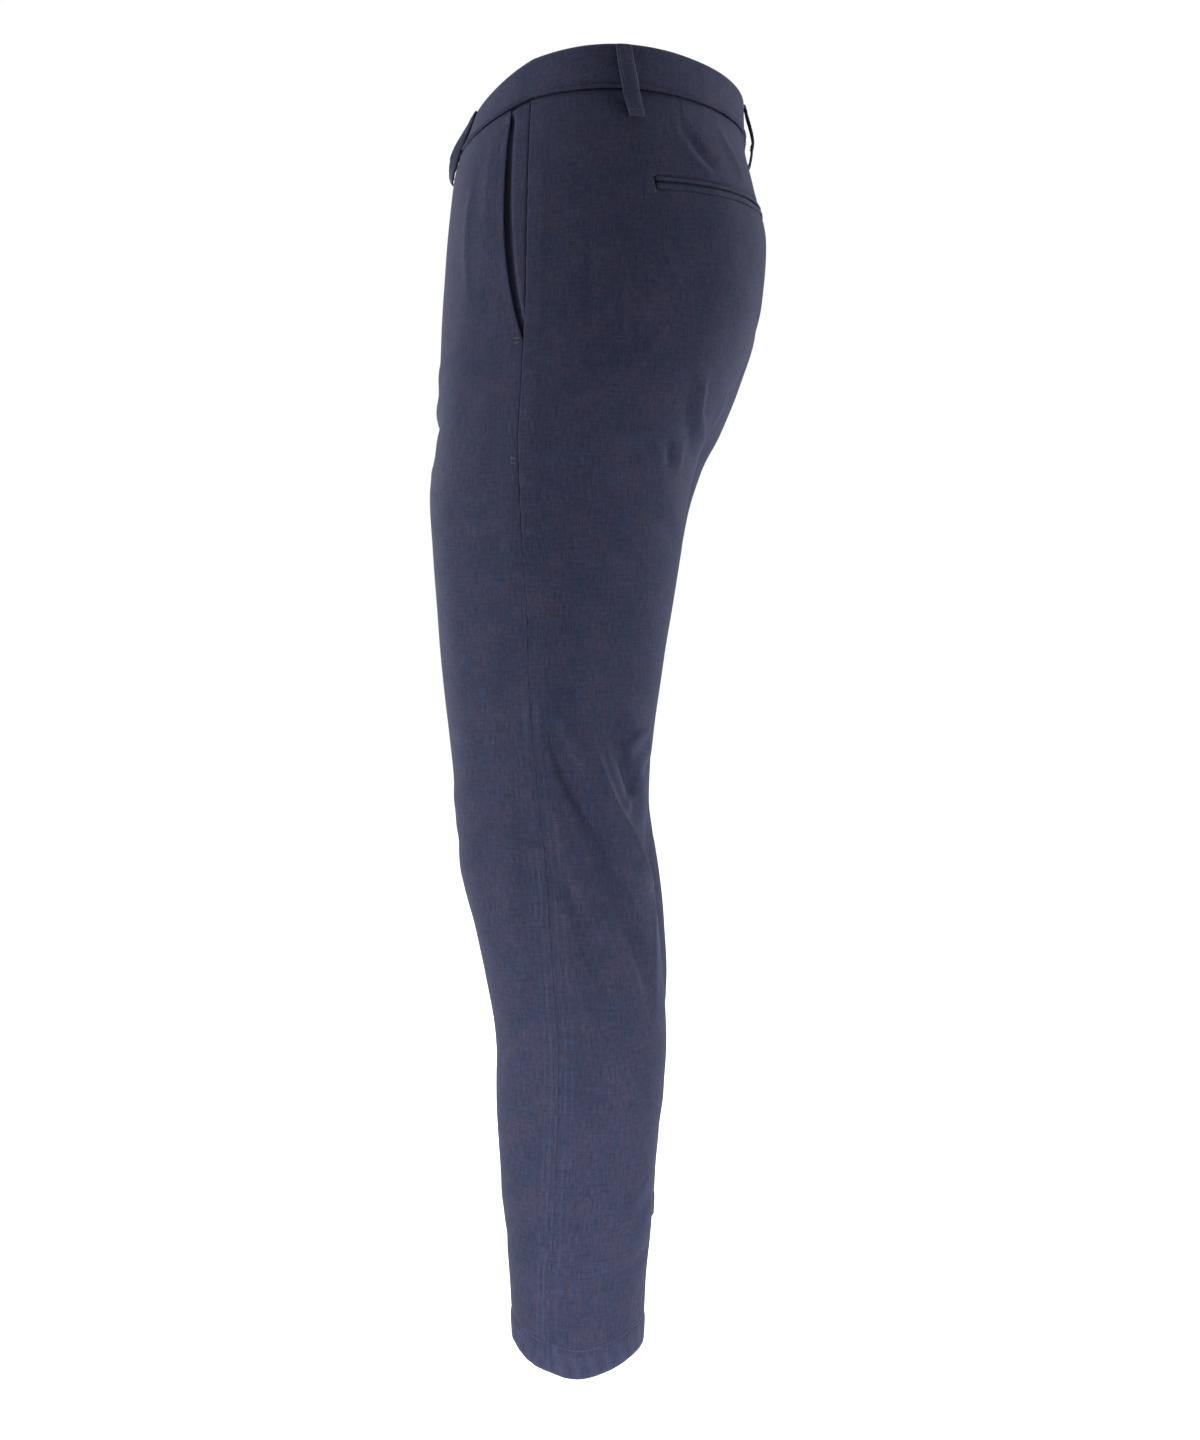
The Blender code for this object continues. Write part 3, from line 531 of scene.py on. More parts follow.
def cotton_twill(name, shade="#283048", warm="#322f43", worn="#565d7a"):
    """Garment-dyed cotton twill: woven, brushed and washed. It gives the eye a matt, slightly
    mottled navy with a fine upright thread, a faint nap and paler edges."""
    made, tree, surface = new_finish(name, {
        "Roughness": 0.86, "IOR": 1.47, "Specular IOR Level": 0.2, "Sheen Weight": 0.12,
        "Sheen Roughness": 0.35, "Sheen Tint": linear("#a9b2d8"),
    })
    flat = add_node(tree, "UVMap", uv_map="cloth").outputs["UV"]
    # Threads are 0.4 mm apart, drawn at 0.8 mm so that they show, and slubs are 12 mm long.
    warp = noise(tree, flat, 1.0, 2, stretch=(1250, 80, 1))
    weft = noise(tree, flat, 1.0, 2, stretch=(60, 1100, 1))
    threads = mixed(tree, 0.4, warp, weft)
    # The dye takes unevenly, in clouds of about 30 mm, in slubs 4 mm wide and 16 mm long and in
    # flecks of 3 mm.
    clouds = noise(tree, flat, 32, 3)
    slubs = noise(tree, flat, 1.0, 4, stretch=(250, 62, 1))
    flecks = noise(tree, flat, 330, 3)
    dye_share = spread(tree, mixed(tree, 0.62, clouds, slubs), 0.36, 0.64)
    dyed = mixed(tree, dye_share, linear(shade), linear(warm))
    thread_light = spread(tree, threads, 0.3, 0.7, 0.6, 1.4)
    fleck_light = spread(tree, flecks, 0.3, 0.7, 0.84, 1.16)
    cloud_light = spread(tree, clouds, 0.35, 0.65, 0.92, 1.08)
    light = product(tree, product(tree, thread_light, fleck_light), cloud_light)
    threaded = mixed(tree, 1.0, dyed, light, "MULTIPLY")
    wear = add_node(tree, "Attribute", attribute_name="wear").outputs["Fac"]
    coloured = mixed(tree, product(tree, wear, threads), threaded, linear(worn))
    tree.links.new(coloured, surface.inputs["Base Color"])
    # The twill's ribs run up to the right, 1 mm apart.
    rib_place = add_node(
        tree, "Mapping", {"Vector": flat},
        {"Scale": (1000, 1000, 1), "Rotation": (0, 0, math.radians(28))},
    )
    ribs = add_node(
        tree, "TexWave", {"Vector": rib_place.outputs["Vector"]},
        {"Scale": 0.31, "Distortion": 1.2, "Detail": 1.0},
    )
    relief = mixed(tree, 0.6, ribs.outputs["Fac"], threads)
    bump = add_node(tree, "Bump", {"Height": relief}, {"Strength": 0.5, "Distance": 0.0005})
    tree.links.new(bump.outputs["Normal"], surface.inputs["Normal"])
    return made


TWILL = cotton_twill("navy_cotton_twill")


def shell(name, points, thickness, finish, flat_u, flat_v, wear=0.0, window=(), outward=False):
    """A piece of cloth: a grid of points made a wall. flat_u and flat_v are the points' places
    on the flat cloth in millimetres, and window holds the quads that are left out."""
    rows, columns = points.shape[:2]
    index = np.arange(rows * columns).reshape(rows, columns)
    quads = np.stack([index[:-1, :-1], index[1:, :-1], index[1:, 1:], index[:-1, 1:]], axis=-1)
    kept = np.ones(quads.shape[:2], bool)
    for first_row, last_row, first_column, last_column in window:
        kept[first_row:last_row, first_column:last_column] = False
    mesh = bpy.data.meshes.new(name)
    mesh.from_pydata((points.reshape(-1, 3) * MM).tolist(), [], quads[kept].tolist())
    corners = np.empty(len(mesh.loops), np.int32)
    mesh.loops.foreach_get("vertex_index", corners)
    flat = np.stack([np.broadcast_to(a, points.shape[:2]).ravel() for a in (flat_u, flat_v)], -1)
    mesh.uv_layers.new(name="cloth").data.foreach_set("uv", (flat[corners] * MM).ravel())
    worn = np.broadcast_to(wear, points.shape[:2]).ravel().astype(np.float32)
    mesh.attributes.new("wear", "FLOAT", "POINT").data.foreach_set("value", worn)
    mesh.shade_smooth()
    mesh.materials.append(finish)
    piece = placed(name, mesh)
    wall = piece.modifiers.new("wall", "SOLIDIFY")
    wall.thickness = thickness * MM
    wall.offset = 1.0 if outward else -1.0
    wall.use_quality_normals = True
    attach(piece, "root")
    return piece


# How far a panel runs up behind the waistband, and how far it is set in there
TUCK, TUCK_DEPTH = 10.0, 3.4
KNEE_TOP_Z, KNEE_END_Z, KNEE_PITCH = -488.0, -668.0, 1.8
LEVELS = refined(
    [
        WAIST_SIDE_Z + TUCK, WAIST_SIDE_Z + 0.6, WAIST_SIDE_Z, WAIST_SIDE_Z - 0.6,
        WAIST_SIDE_Z - 1.2, WAIST_SIDE_Z - 2, -58, -82, -104, -114.4, -140, -168, -192, -209,
        POCKET_END_Z, -244, -266, -284, FORK_OUTSEAM_Z, -350, -430, KNEE_TOP_Z,
    ],
    ROW_PITCH,
)
LEVELS += refined([KNEE_TOP_Z, KNEE_END_Z], KNEE_PITCH)[1:]
LEVELS += refined([KNEE_END_Z, -722, -815, -915, HEM_Z + HEM_DEPTH, HEM_Z], ROW_PITCH)[1:]


def tucked(level, height):
    """The panel's height, smoothed towards the waist, where it is sewn in behind the band."""
    smoothed = height * (1 - 0.85 * ease((level - WAIST_SIDE_Z + 13) / 11))
    return smoothed - TUCK_DEPTH * ease((level - WAIST_SIDE_Z + 1.9) / 2.0)


def seam_marks(s, level, seed):
    """The seam's allowance shows through as thin ridges beside it, most of all low down."""
    share = 0.25 + 0.75 * ease((-420 - level) / 160)
    uneven = 0.7 + 0.3 * np.sin(level / 23 + seed) * np.sin(level / 9.7 + 2 * seed)
    return share * uneven * (bell(s - 5.6, 1.0) + 0.8 * bell(s - 10.4, 0.9))


def seam_depth(level):
    """The outseam is drawn in down to the thigh, and pressed flat below."""
    return 1 - 0.65 * ease((-330 - level) / 90)


def pressed(s, level):
    """Where the iron stood at the knee, the seam's edge shines through."""
    return bell(s - 4, 2.2) * bell(level + 512, 16)


def pocket_set_back(z):
    """How far in front of the outseam the front pocket's opening is."""
    share = (WAIST_SIDE_Z - z) / (WAIST_SIDE_Z - POCKET_END_Z)
    return np.where(share >= 1, 0.0, POCKET_SET_BACK * (1 - np.clip(share, 0, 1) ** POCKET_CURVE))


def pocket_gape(z):
    """How far the pocket's edge stands off, most at the middle of the opening."""
    share = np.clip((WAIST_SIDE_Z - z) / (WAIST_SIDE_Z - POCKET_END_Z), 0, 1)
    return POCKET_GAPE * np.sin(np.pi * share)


FRONT_SHARES = edge_dense(76)


def front(name, folds, seed, right):
    """One front, with the grid that it was raised from and how far each point was raised."""
    grid = cloth(
        LEVELS, False,
        lambda level, length: length - SEAM_GAP / 2
        + FRONT_SHARES * (pocket_set_back(level) + SEAM_GAP - length),
    )
    level, s, e = grid.level, grid.s, grid.e
    from_edge = s - pocket_set_back(level)
    z = grid.points[..., 2]
    in_pocket = ease((level - POCKET_END_Z) / 6)
    in_leg = ease((FORK_OUTSEAM_Z + 20 - level) / 30)
    height = pocket_gape(level) * np.exp(-from_edge / 14)
    height += rolled(from_edge, 0.55, 1.2) * in_pocket
    height += rolled(s, 0.4, 0.9) * (1 - in_pocket) * seam_depth(level)
    height += rolled(e, 0.8) + allowance(s) * (1 - in_pocket) + allowance(e) * in_leg
    height += 0.45 * pucker(level, seed) * np.exp(-s / 9) * (1 - in_pocket)
    height += 0.35 * pucker(level, seed + 3) * np.exp(-e / 8)
    height += 0.2 * pucker(s, seed + 5) * np.exp(-np.abs(WAIST_SIDE_Z - level) / 8)
    marks = seam_marks(s, level, seed) * (1 - in_pocket)
    height += 0.22 * marks
    height += -0.3 * bell(from_edge - POCKET_STITCH, 1.0) * in_pocket
    fade = ease(np.minimum(s, e) / 14)
    height += fade * (folds_height(folds, s, z) + unevenness(s, z, seed))
    height += hem_relief(level, s, seed)
    # The fly's facing lies behind the left front, and its stitches draw the cloth in.
    if not right:
        fly = 0.8 * ease((FLY_WIDTH - e) / 2.5) * ease((z - FLY_END_Z + 4) / 10)
        height += fly + 0.5 * ease((5 - e) / 4) * ease((z - FLY_END_Z) / 20)
    height = tucked(level, height)
    points = seamed(moved_out(grid.points, height), 0)
    wear = 0.5 * np.exp(-from_edge / 1.6) * in_pocket + 0.55 * np.exp(-(level - HEM_Z) / 1.6)
    wear += (0.28 * marks + 0.35 * np.exp(-s / 0.9) + 0.35 * pressed(s, level)) * (1 - in_pocket)
    wear += hem_wear(level, s, seed)
    u, v = -s, level
    if right:
        points, u, v, wear = mirrored(points), u[:, ::-1], v[:, ::-1], wear[:, ::-1]
    piece = shell(name, points, CLOTH, TWILL, u, v, wear)
    return piece, grid, height


left_front, FRONT_GRID, FRONT_HEIGHT = front("left_front_twill", LEFT_FRONT_FOLDS, 0.4, False)
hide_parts("left_front")
right_front, _, RIGHT_FRONT_HEIGHT = front("right_front_twill", RIGHT_FRONT_FOLDS, 2.1, True)
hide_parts("right_front")

# ---------------------------------------------------------------------------------------------
# The two backs, of the same twill. Each has a dart from the waist seam down to the pocket, a
# window for the pocket's welts, and the soft folds that gather behind a knee.
# ---------------------------------------------------------------------------------------------
WELT_TOP_Z, WELT_MIDDLE, WELT_BOTTOM_Z = -104.0, -108.8, -114.4
WELT_FROM, WELT_TO = 0.325, 0.82
DART_S, DART_END_Z = 123.5, -104.0
LEFT_BACK_FOLDS = [
    # Behind the knee the cloth stands in one long sharp crease over a hollow.
    Fold(4.9, 15, 4, 0.6, [
        (36, -486), (44, -524), (54, -562), (63, -586),
        (75, -605), (86, -626), (108, -656),
    ]),
    Fold(3.4, 7, 7, 0.45, [(13, -505), (29, -524), (36, -545), (46, -570), (58, -596), (76, -628)]),
    Fold(1.6, 2.4, 1.4, 0.6, [
        (42, -514), (50, -543), (55, -563), (63, -586),
        (75, -605), (86, -626), (108, -654),
    ]),
    Fold(-6.8, 7, 11, 0.55, [(58, -496), (64, -522), (72, -548), (79, -572), (84, -598)]),
    Fold(-6.8, 6, 8, 0.45, [
        (8, -506), (16, -539), (25, -567), (39, -602),
        (48, -634), (62, -678), (68, -712),
    ]),
    Fold(3.4, 7, 4, 0.5, [(4, -548), (13, -590), (25, -638), (42, -686), (50, -730), (56, -752)]),
    Fold(-3.6, 5, 5, 0.5, [(8, -626), (16, -656), (22, -684), (31, -716), (38, -744)]),
    Fold(1.8, 2.4, 1.6, 0.4, [(37, -656), (44, -678), (56, -708), (67, -740)]),
    Fold(-2.9, 5, 8, 0.4, [(62, -676), (72, -706), (78, -744)]),
    Fold(2.0, 6, 5, 0.4, [(14, -696), (21, -728), (36, -762)]),
    Fold(1.3, 4, 4, 0.5, [(32, -476), (38, -497), (44, -516)]),
    Fold(-1.6, 4, 4, 0.5, [(28, -480), (30, -500), (32, -512)]),
    Fold(2.2, 4, 4, 0.5, [(64, -592), (69, -586), (82, -577), (100, -570)]),
    Fold(2.3, 4, 3, 0.5, [(84, -556), (80, -546), (79, -535), (92, -527), (112, -522)]),
    Fold(-2.1, 5, 5, 0.5, [(84, -548), (92, -541), (108, -537)]),
    Fold(-2.9, 5, 5, 0.6, [(92, -562), (106, -556), (126, -552)]),
    Fold(1.6, 2.0, 2.4, 0.5, [(112, -588), (107, -602), (102, -616), (92, -636)]),
    Fold(-2.3, 4, 6, 0.5, [(122, -586), (117, -604), (112, -622), (104, -644)]),
    Fold(1.3, 4, 5, 0.3, [(106, -652), (96, -676), (88, -712), (84, -760)]),
    # Below the seat
    Fold(3.0, 8, 2.4, 0.5, [(152, -244), (149, -260), (150, -275), (166, -291), (178, -302)]),
    Fold(-1.8, 7, 5, 0.5, [(134, -246), (134, -270), (146, -296), (164, -312)]),
    Fold(1.4, 6, 3, 0.5, [(198, -250), (190, -268), (184, -286), (180, -302)]),
    Fold(-4.0, 7, 12, 0.5, [(212, -248), (206, -268), (198, -290), (188, -314)]),
    Fold(-2.8, 4, 3, 0.5, [(118, -298), (123, -311), (122, -322)]),
    Fold(1.6, 4, 5, 0.5, [(130, -300), (134, -311), (132, -326)]),
    Fold(1.3, 4, 3, 0.6, [(44, -288), (79, -297), (104, -294), (134, -296)]),
    Fold(-1.0, 6, 5, 0.5, [(50, -304), (84, -311), (112, -308)]),
    Fold(1.1, 9, 7, 0.5, [(96, -330), (124, -346), (150, -372)]),
    Fold(-1.0, 9, 7, 0.5, [(104, -360), (132, -372), (160, -396)]),
    # From the dart down to the end of the pocket
    Fold(-3.0, 5, 6, 0.5, [(122, -48), (128, -62), (140, -77), (158, -92)]),
    Fold(1.6, 4, 4, 0.5, [(128, -82), (140, -90), (154, -98)]),
    Fold(1.3, 6, 4, 0.5, [(84, -68), (98, -80), (116, -88)]),
    Fold(1.8, 6, 6, 0.5, [(168, -44), (180, -66), (196, -92)]),
    Fold(-0.8, 4, 4, 0.5, [(48, -120), (49, -180), (52, -250)]),
    Fold(-0.7, 3, 3, 0.5, [(78, -160), (80, -200), (82, -250)]),
    # The lower leg
    Fold(-1.6, 5, 5, 0.6, [(58, -902), (70, -896), (88, -890)]),
    Fold(0.9, 5, 5, 0.5, [(52, -890), (66, -882), (84, -876)]),
    Fold(1.0, 5, 5, 0.6, [(22, -920), (44, -915), (64, -912), (84, -912)]),
    Fold(-1.4, 6, 5, 0.7, [(22, -932), (50, -935), (78, -929), (96, -922)]),
    Fold(0.9, 12, 10, 0.5, [(96, -806), (120, -822), (140, -842)]),
]
RIGHT_BACK_FOLDS = [
    Fold(3.0, 14, 5, 0.5, [(30, -492), (42, -532), (56, -572), (74, -606), (98, -640)]),
    Fold(0.8, 2.4, 1.6, 0.5, [(38, -520), (48, -550), (62, -584), (84, -618)]),
    Fold(-4.2, 8, 14, 0.5, [(60, -502), (66, -530), (76, -560), (84, -588)]),
    Fold(-2.8, 6, 9, 0.5, [(6, -522), (20, -562), (34, -606), (48, -652), (56, -690)]),
    Fold(1.4, 7, 4, 0.5, [(6, -566), (18, -620), (34, -672), (46, -724)]),
    Fold(-1.3, 5, 5, 0.5, [(12, -650), (22, -694), (36, -738)]),
    Fold(1.5, 4, 4, 0.5, [(70, -596), (84, -584), (104, -576)]),
    Fold(1.6, 4, 3, 0.5, [(84, -550), (82, -538), (96, -530), (116, -526)]),
    Fold(-1.8, 5, 5, 0.6, [(90, -560), (104, -552), (124, -548)]),
    Fold(-1.3, 4, 6, 0.5, [(116, -596), (112, -620), (102, -648)]),
    Fold(2.0, 3, 6, 0.5, [(146, -252), (147, -270), (156, -286), (172, -298)]),
    Fold(-1.7, 6, 4, 0.5, [(136, -256), (140, -280), (152, -300)]),
    Fold(-1.4, 5, 4, 0.5, [(114, -304), (119, -316), (118, -328)]),
    Fold(0.8, 5, 4, 0.5, [(52, -282), (82, -290), (118, -290)]),
    Fold(1.2, 9, 7, 0.5, [(100, -338), (128, -352), (152, -376)]),
    Fold(-1.1, 8, 7, 0.5, [(108, -366), (134, -378), (158, -402)]),
    Fold(-1.4, 4, 6, 0.5, [(122, -54), (132, -70), (152, -90)]),
    Fold(0.8, 7, 8, 0.5, [(164, -46), (180, -68), (198, -96)]),
    Fold(-1.4, 5, 5, 0.5, [(50, -892), (68, -886), (88, -884)]),
    Fold(0.9, 5, 5, 0.5, [(34, -910), (60, -912), (90, -918)]),
    Fold(-1.2, 6, 5, 0.5, [(30, -930), (60, -934), (96, -930)]),
    Fold(1.0, 10, 9, 0.5, [(104, -790), (126, -808), (146, -830)]),
]


def nearest_to(place, values):
    """The index of the value that lies nearest to a place."""
    return int(np.argmin(np.abs(np.array(values) - place)))


def with_edges(shares, width):
    """Shares of a width, with more of them close to both edges."""
    near = np.array([0.5, 1.1, 1.9]) / width
    marks = np.array([4.0, 5.0, 6.4, 7.8, 9.2, 10.4]) / width
    return np.array(sorted({round(float(x), 5) for x in [*shares, *near, *marks, *(1 - near)]}))


BACK_PITCH, KNEE_SHARE, KNEE_SHARE_PITCH = 0.0122, 0.62, 0.0078
BACK_SHARES = with_edges(
    refined([0, 0.14], BACK_PITCH) + refined([0.14, WELT_FROM, KNEE_SHARE], KNEE_SHARE_PITCH)
    + refined([KNEE_SHARE, WELT_TO, 1], BACK_PITCH),
    240,
)
WINDOW_ROWS = [nearest_to(z, LEVELS) for z in (WELT_TOP_Z, WELT_BOTTOM_Z)]
WINDOW_COLUMNS = [nearest_to(share, BACK_SHARES) for share in (WELT_FROM, WELT_TO)]


def back(name, folds, seed, right):
    """One back, with the grid that it was raised from and how far each point was raised."""
    grid = cloth(
        LEVELS, True,
        lambda level, length: SEAM_GAP / 2 + BACK_SHARES * (length - SEAM_GAP),
    )
    level, s, e = grid.level, grid.s, grid.e
    z = grid.points[..., 2]
    in_leg = ease((FORK_OUTSEAM_Z + 20 - level) / 30)
    height = rolled(s, 0.4, 0.9) * seam_depth(level) + rolled(e)
    height += allowance(s) + allowance(e, 12.0)
    marks = seam_marks(s, level, seed + 1)
    height += 0.22 * marks
    height += 0.5 * pucker(level, seed) * np.exp(-s / 9)
    height += 0.4 * pucker(level, seed + 3) * np.exp(-e / 9)
    fade = ease(np.minimum(s, e) / 14)
    height += fade * (folds_height(folds, s, z) + unevenness(s, z, seed))
    height = tucked(level, height + hem_relief(level, s, seed))
    # The dart is a seam that fades out towards its point.
    depth, aside = ease((z - DART_END_Z) / 40), s - DART_S
    dart = -0.9 * bell(aside, 1.3) + 0.6 * bell(aside, 8)
    height += depth * dart + 0.25 * pucker(z, seed + 7) * np.exp(-np.abs(aside) / 6) * depth
    # The cloth is drawn in a little round the pocket's mouth.
    across = (s / (s + e) - WELT_FROM) / (WELT_TO - WELT_FROM)
    inside = ease(across / 0.04 + 1) * ease((1 - across) / 0.04 + 1)
    above, below = np.maximum(level - WELT_TOP_Z, 0), np.maximum(WELT_BOTTOM_Z - level, 0)
    height -= 1.2 * inside * np.exp(-above / 2.2) * (level > WELT_MIDDLE)
    height -= 0.5 * inside * np.exp(-below / 2) * (level < WELT_MIDDLE)
    points = seamed(moved_out(grid.points, height), -1)
    wear = 0.5 * np.exp(-(level - HEM_Z) / 1.6) + 0.22 * marks + 0.35 * pressed(s, level)
    wear += hem_wear(level, s, seed)
    u, v = s, level
    columns = WINDOW_COLUMNS
    if right:
        points, u, v, wear = mirrored(points), u[:, ::-1], v[:, ::-1], wear[:, ::-1]
        last = len(BACK_SHARES) - 1
        columns = [last - WINDOW_COLUMNS[1], last - WINDOW_COLUMNS[0]]
    piece = shell(name, points, CLOTH, TWILL, u, v, wear, [(*WINDOW_ROWS, *columns)])
    return piece, grid, height


left_back, BACK_GRID, BACK_HEIGHT = back("left_back_twill", LEFT_BACK_FOLDS, 1.3, False)
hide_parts("left_back")
right_back, _, RIGHT_BACK_HEIGHT = back("right_back_twill", RIGHT_BACK_FOLDS, 3.2, True)
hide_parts("right_back")

# ---------------------------------------------------------------------------------------------
# The pocket facings: strips of the twill sewn under the slant openings, which show between
# the pocket's turned edge and the outseam.
# ---------------------------------------------------------------------------------------------
FACING_UNDERLAY, FACING_DIP, FACING_RAMP, FACING_END_Z = 14.0, 4.2, 9.0, -238.0
FACING_SHARES = np.linspace(1, 0, 24)
facing_grid = cloth(
    refined([WAIST_SIDE_Z + TUCK, WAIST_SIDE_Z, POCKET_END_Z, FACING_END_Z], ROW_PITCH), False,
    lambda level, length: 0.3 + FACING_SHARES * (pocket_set_back(level) + FACING_UNDERLAY),
)
facing_dip = ease((facing_grid.s - pocket_set_back(facing_grid.level) + FACING_RAMP) / FACING_RAMP)
facing_height = -FACING_DIP * facing_dip + rolled(facing_grid.s, 0.8)
facing_height += 0.4 * pucker(facing_grid.level, 1.1) * np.exp(-facing_grid.s / 8)
facing_height = tucked(facing_grid.level, facing_height)
facing_points = moved_out(facing_grid.points, facing_height)
facing_u, facing_v = -facing_grid.s, facing_grid.level
left_facing = shell("left_facing_twill", facing_points, CLOTH, TWILL, facing_u, facing_v)
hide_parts("left_pocket_facing")
right_facing = shell(
    "right_facing_twill", mirrored(facing_points), CLOTH, TWILL, facing_u[:, ::-1], facing_v
)
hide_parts("right_pocket_facing")

# ---------------------------------------------------------------------------------------------
# The welts of the back pockets: two folded strips of twill in each window, pressed flat and
# sewn round, which meet along a dark slit. The lower one's cloth runs up behind the upper one.
# ---------------------------------------------------------------------------------------------
WELT_SLOT, WELT_CROWN, WELT_CLOTH = 2.2, 0.7, 2.0
WELT_GAP, WELT_UNDERLAY, WELT_UNDERLAY_DEPTH = 0.6, 4.6, 2.3


def welt(name, node, top_z, bottom_z, seed, right, underlay=0.0):
    """One welt across the window. underlay is how far its cloth runs up behind the slit."""
    shares = np.linspace(WELT_FROM + 0.005, WELT_TO - 0.003, 56)
    levels, across = np.linspace(top_z, bottom_z, 9), np.linspace(0, 1, 9)
    if underlay:
        levels = np.concatenate([np.linspace(top_z + underlay, top_z + 0.3, 4), levels])
        across = np.concatenate([np.zeros(4), across])
    grid = cloth(levels, True, lambda level, length: 0.5 + shares * (length - 1.0))
    across = across[:, None]
    crown = WELT_CROWN * np.sin(np.pi * across) ** 0.6
    crown = crown - WELT_UNDERLAY_DEPTH * (levels > top_z + 0.1)[:, None]
    wave = 0.22 * np.sin(grid.s / 6.1 + seed + 0.8 * np.sin(grid.s / 13))
    points = moved_out(grid.points, crown + wave * np.sin(np.pi * across))
    wear = 0.1 * np.sin(np.pi * across) + np.zeros_like(grid.s)
    u, v = grid.s, grid.level
    if right:
        points, u = mirrored(points), u[:, ::-1]
    piece = shell(name, points, WELT_CLOTH, TWILL, v, u, wear)
    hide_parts(node)
    return piece


welts = []
for side, right in (("left", False), ("right", True)):
    welts.append(welt(
        f"{side}_upper_welt", f"{side}_back_welt_upper", WELT_TOP_Z - WELT_GAP,
        WELT_MIDDLE + WELT_SLOT / 2, 0.5 + right, right,
    ))
    welts.append(welt(
        f"{side}_lower_welt", f"{side}_back_welt_lower", WELT_MIDDLE - WELT_SLOT / 2,
        WELT_BOTTOM_Z + 0.1, 2.5 + right, right, WELT_UNDERLAY,
    ))
for piece in welts:
    flat_area = 0.0018 if "lower" in piece.name else 0.0009

# ---------------------------------------------------------------------------------------------
# The waistband: two halves of interlined twill, folded over at the top edge and joined at the
# centre back. The right half runs on under the left one and carries the button.
# ---------------------------------------------------------------------------------------------
BAND_HEIGHT, BAND_PROUD, BAND_CLOTH = 34.5, 0.6, 2.4
UNDERLAP, UNDERLAP_RAMP = 38.0, 14.0
# The band stops a little above the seam, which leaves the seam's dark line below it.
BAND_FOOT_Z = WAIST_SIDE_Z + 1.4
BAND_LEVELS = -BAND_HEIGHT * edge_dense(26)
BAND_LEVELS[-1] = BAND_FOOT_Z


def band_points(with_underlap, seed):
    """Half of the band, with each point's place along it, its level and its wear."""
    before, behind = row_lines(BAND_LEVELS, False), row_lines(BAND_LEVELS, True)
    points, places, depths = [], [], []
    for front_line, back_line in zip(before, behind):
        line = np.concatenate([front_line[::-1], back_line[1:]])
        if with_underlap:
            line = np.concatenate([(front_line * (-1, 1, 1))[:-1], line])
        at = run_of(line)
        centre = at[len(front_line) - 1] if with_underlap else 0.0
        start = centre - UNDERLAP if with_underlap else SEAM_GAP / 2
        here = np.linspace(start, at[-1] - SEAM_GAP / 2, 190)
        points.append(points_at(here, at, line))
        places.append(here - centre)
        depths.append(ease((UNDERLAP_RAMP - here + centre) / UNDERLAP_RAMP))
    points, place, depth = np.array(points), np.array(places), np.array(depths)
    level = np.repeat(BAND_LEVELS[:, None], place.shape[1], axis=1)
    height = BAND_PROUD + rolled(-level, 1.0, 1.5) + rolled(level - BAND_FOOT_Z, 0.3, 1.2)
    height += 0.12 * pucker(place * 0.9, seed) * np.exp(-(level - WAIST_SIDE_Z) / 7)
    height += 0.3 * unevenness(place * 1.6, level * 2, seed)
    height += rolled(place[:, -1:] - place, 0.8, 1.5)
    if with_underlap:
        height = height - (BAND_CLOTH + 1.0) * depth
    else:
        height += rolled(place, 0.8, 1.3)
    wear = 0.35 * np.exp(level / 1.4) + 0.3 * np.exp(-np.abs(place) / 1.4)
    return moved_out(points, height), place, level, wear


left_band_points, place, level, wear = band_points(False, 0.7)
left_band = shell("left_band_twill", left_band_points, BAND_CLOTH, TWILL, place, level, wear)
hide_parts("waistband_left")
right_band_points, place, level, wear = band_points(True, 1.9)
right_band = shell(
    "right_band_twill", mirrored(right_band_points), BAND_CLOTH, TWILL,
    place[:, ::-1], level, wear[:, ::-1],
)
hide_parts("waistband_right")

# ---------------------------------------------------------------------------------------------
# The fly's underlap: a strip of the right front that runs on under the left one, behind the
# closed fly.
# ---------------------------------------------------------------------------------------------
FLY_LENGTH, FLY_JOIN, UNDERLAP_DEPTH = 158.0, 12.0, 2.3
underlap_across = np.linspace(-FLY_JOIN, UNDERLAP, 18)
underlap_rows = row_lines(refined([WAIST_SIDE_Z - 0.4, WAIST_SIDE_Z - FLY_LENGTH], 5.0), False)
underlap_points = []
for line in underlap_rows:
    whole = np.concatenate([(line * (-1, 1, 1))[:-1], line[::-1]])
    at = run_of(whole)
    here = at[len(line) - 1] + underlap_across
    underlap_points.append(points_at(here, at, whole))
underlap_points = np.array(underlap_points)
fly_underlap = shell(
    "fly_underlap_twill", moved_out(underlap_points, -UNDERLAP_DEPTH), CLOTH, TWILL,
    underlap_across[None, :], underlap_points[..., 2],
)
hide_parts("fly_underlap")

# ---------------------------------------------------------------------------------------------
# The belt loops: folded strips of twill 11 mm wide, stitched along both edges, turned under
# and tacked over the waistband at the top and below its seam.
# ---------------------------------------------------------------------------------------------
LOOP_WIDTH, LOOP_LENGTH, LOOP_CLOTH = 11.0, 57.0, 1.4
LOOP_CLEARANCE, FRONT_LOOP_CLEARANCE, LOOP_TOP_INSET = 7.0, 3.6, 1.5
FRONT_LOOP_PLACE, SIDE_LOOP_PLACE = 58.0, 190.0


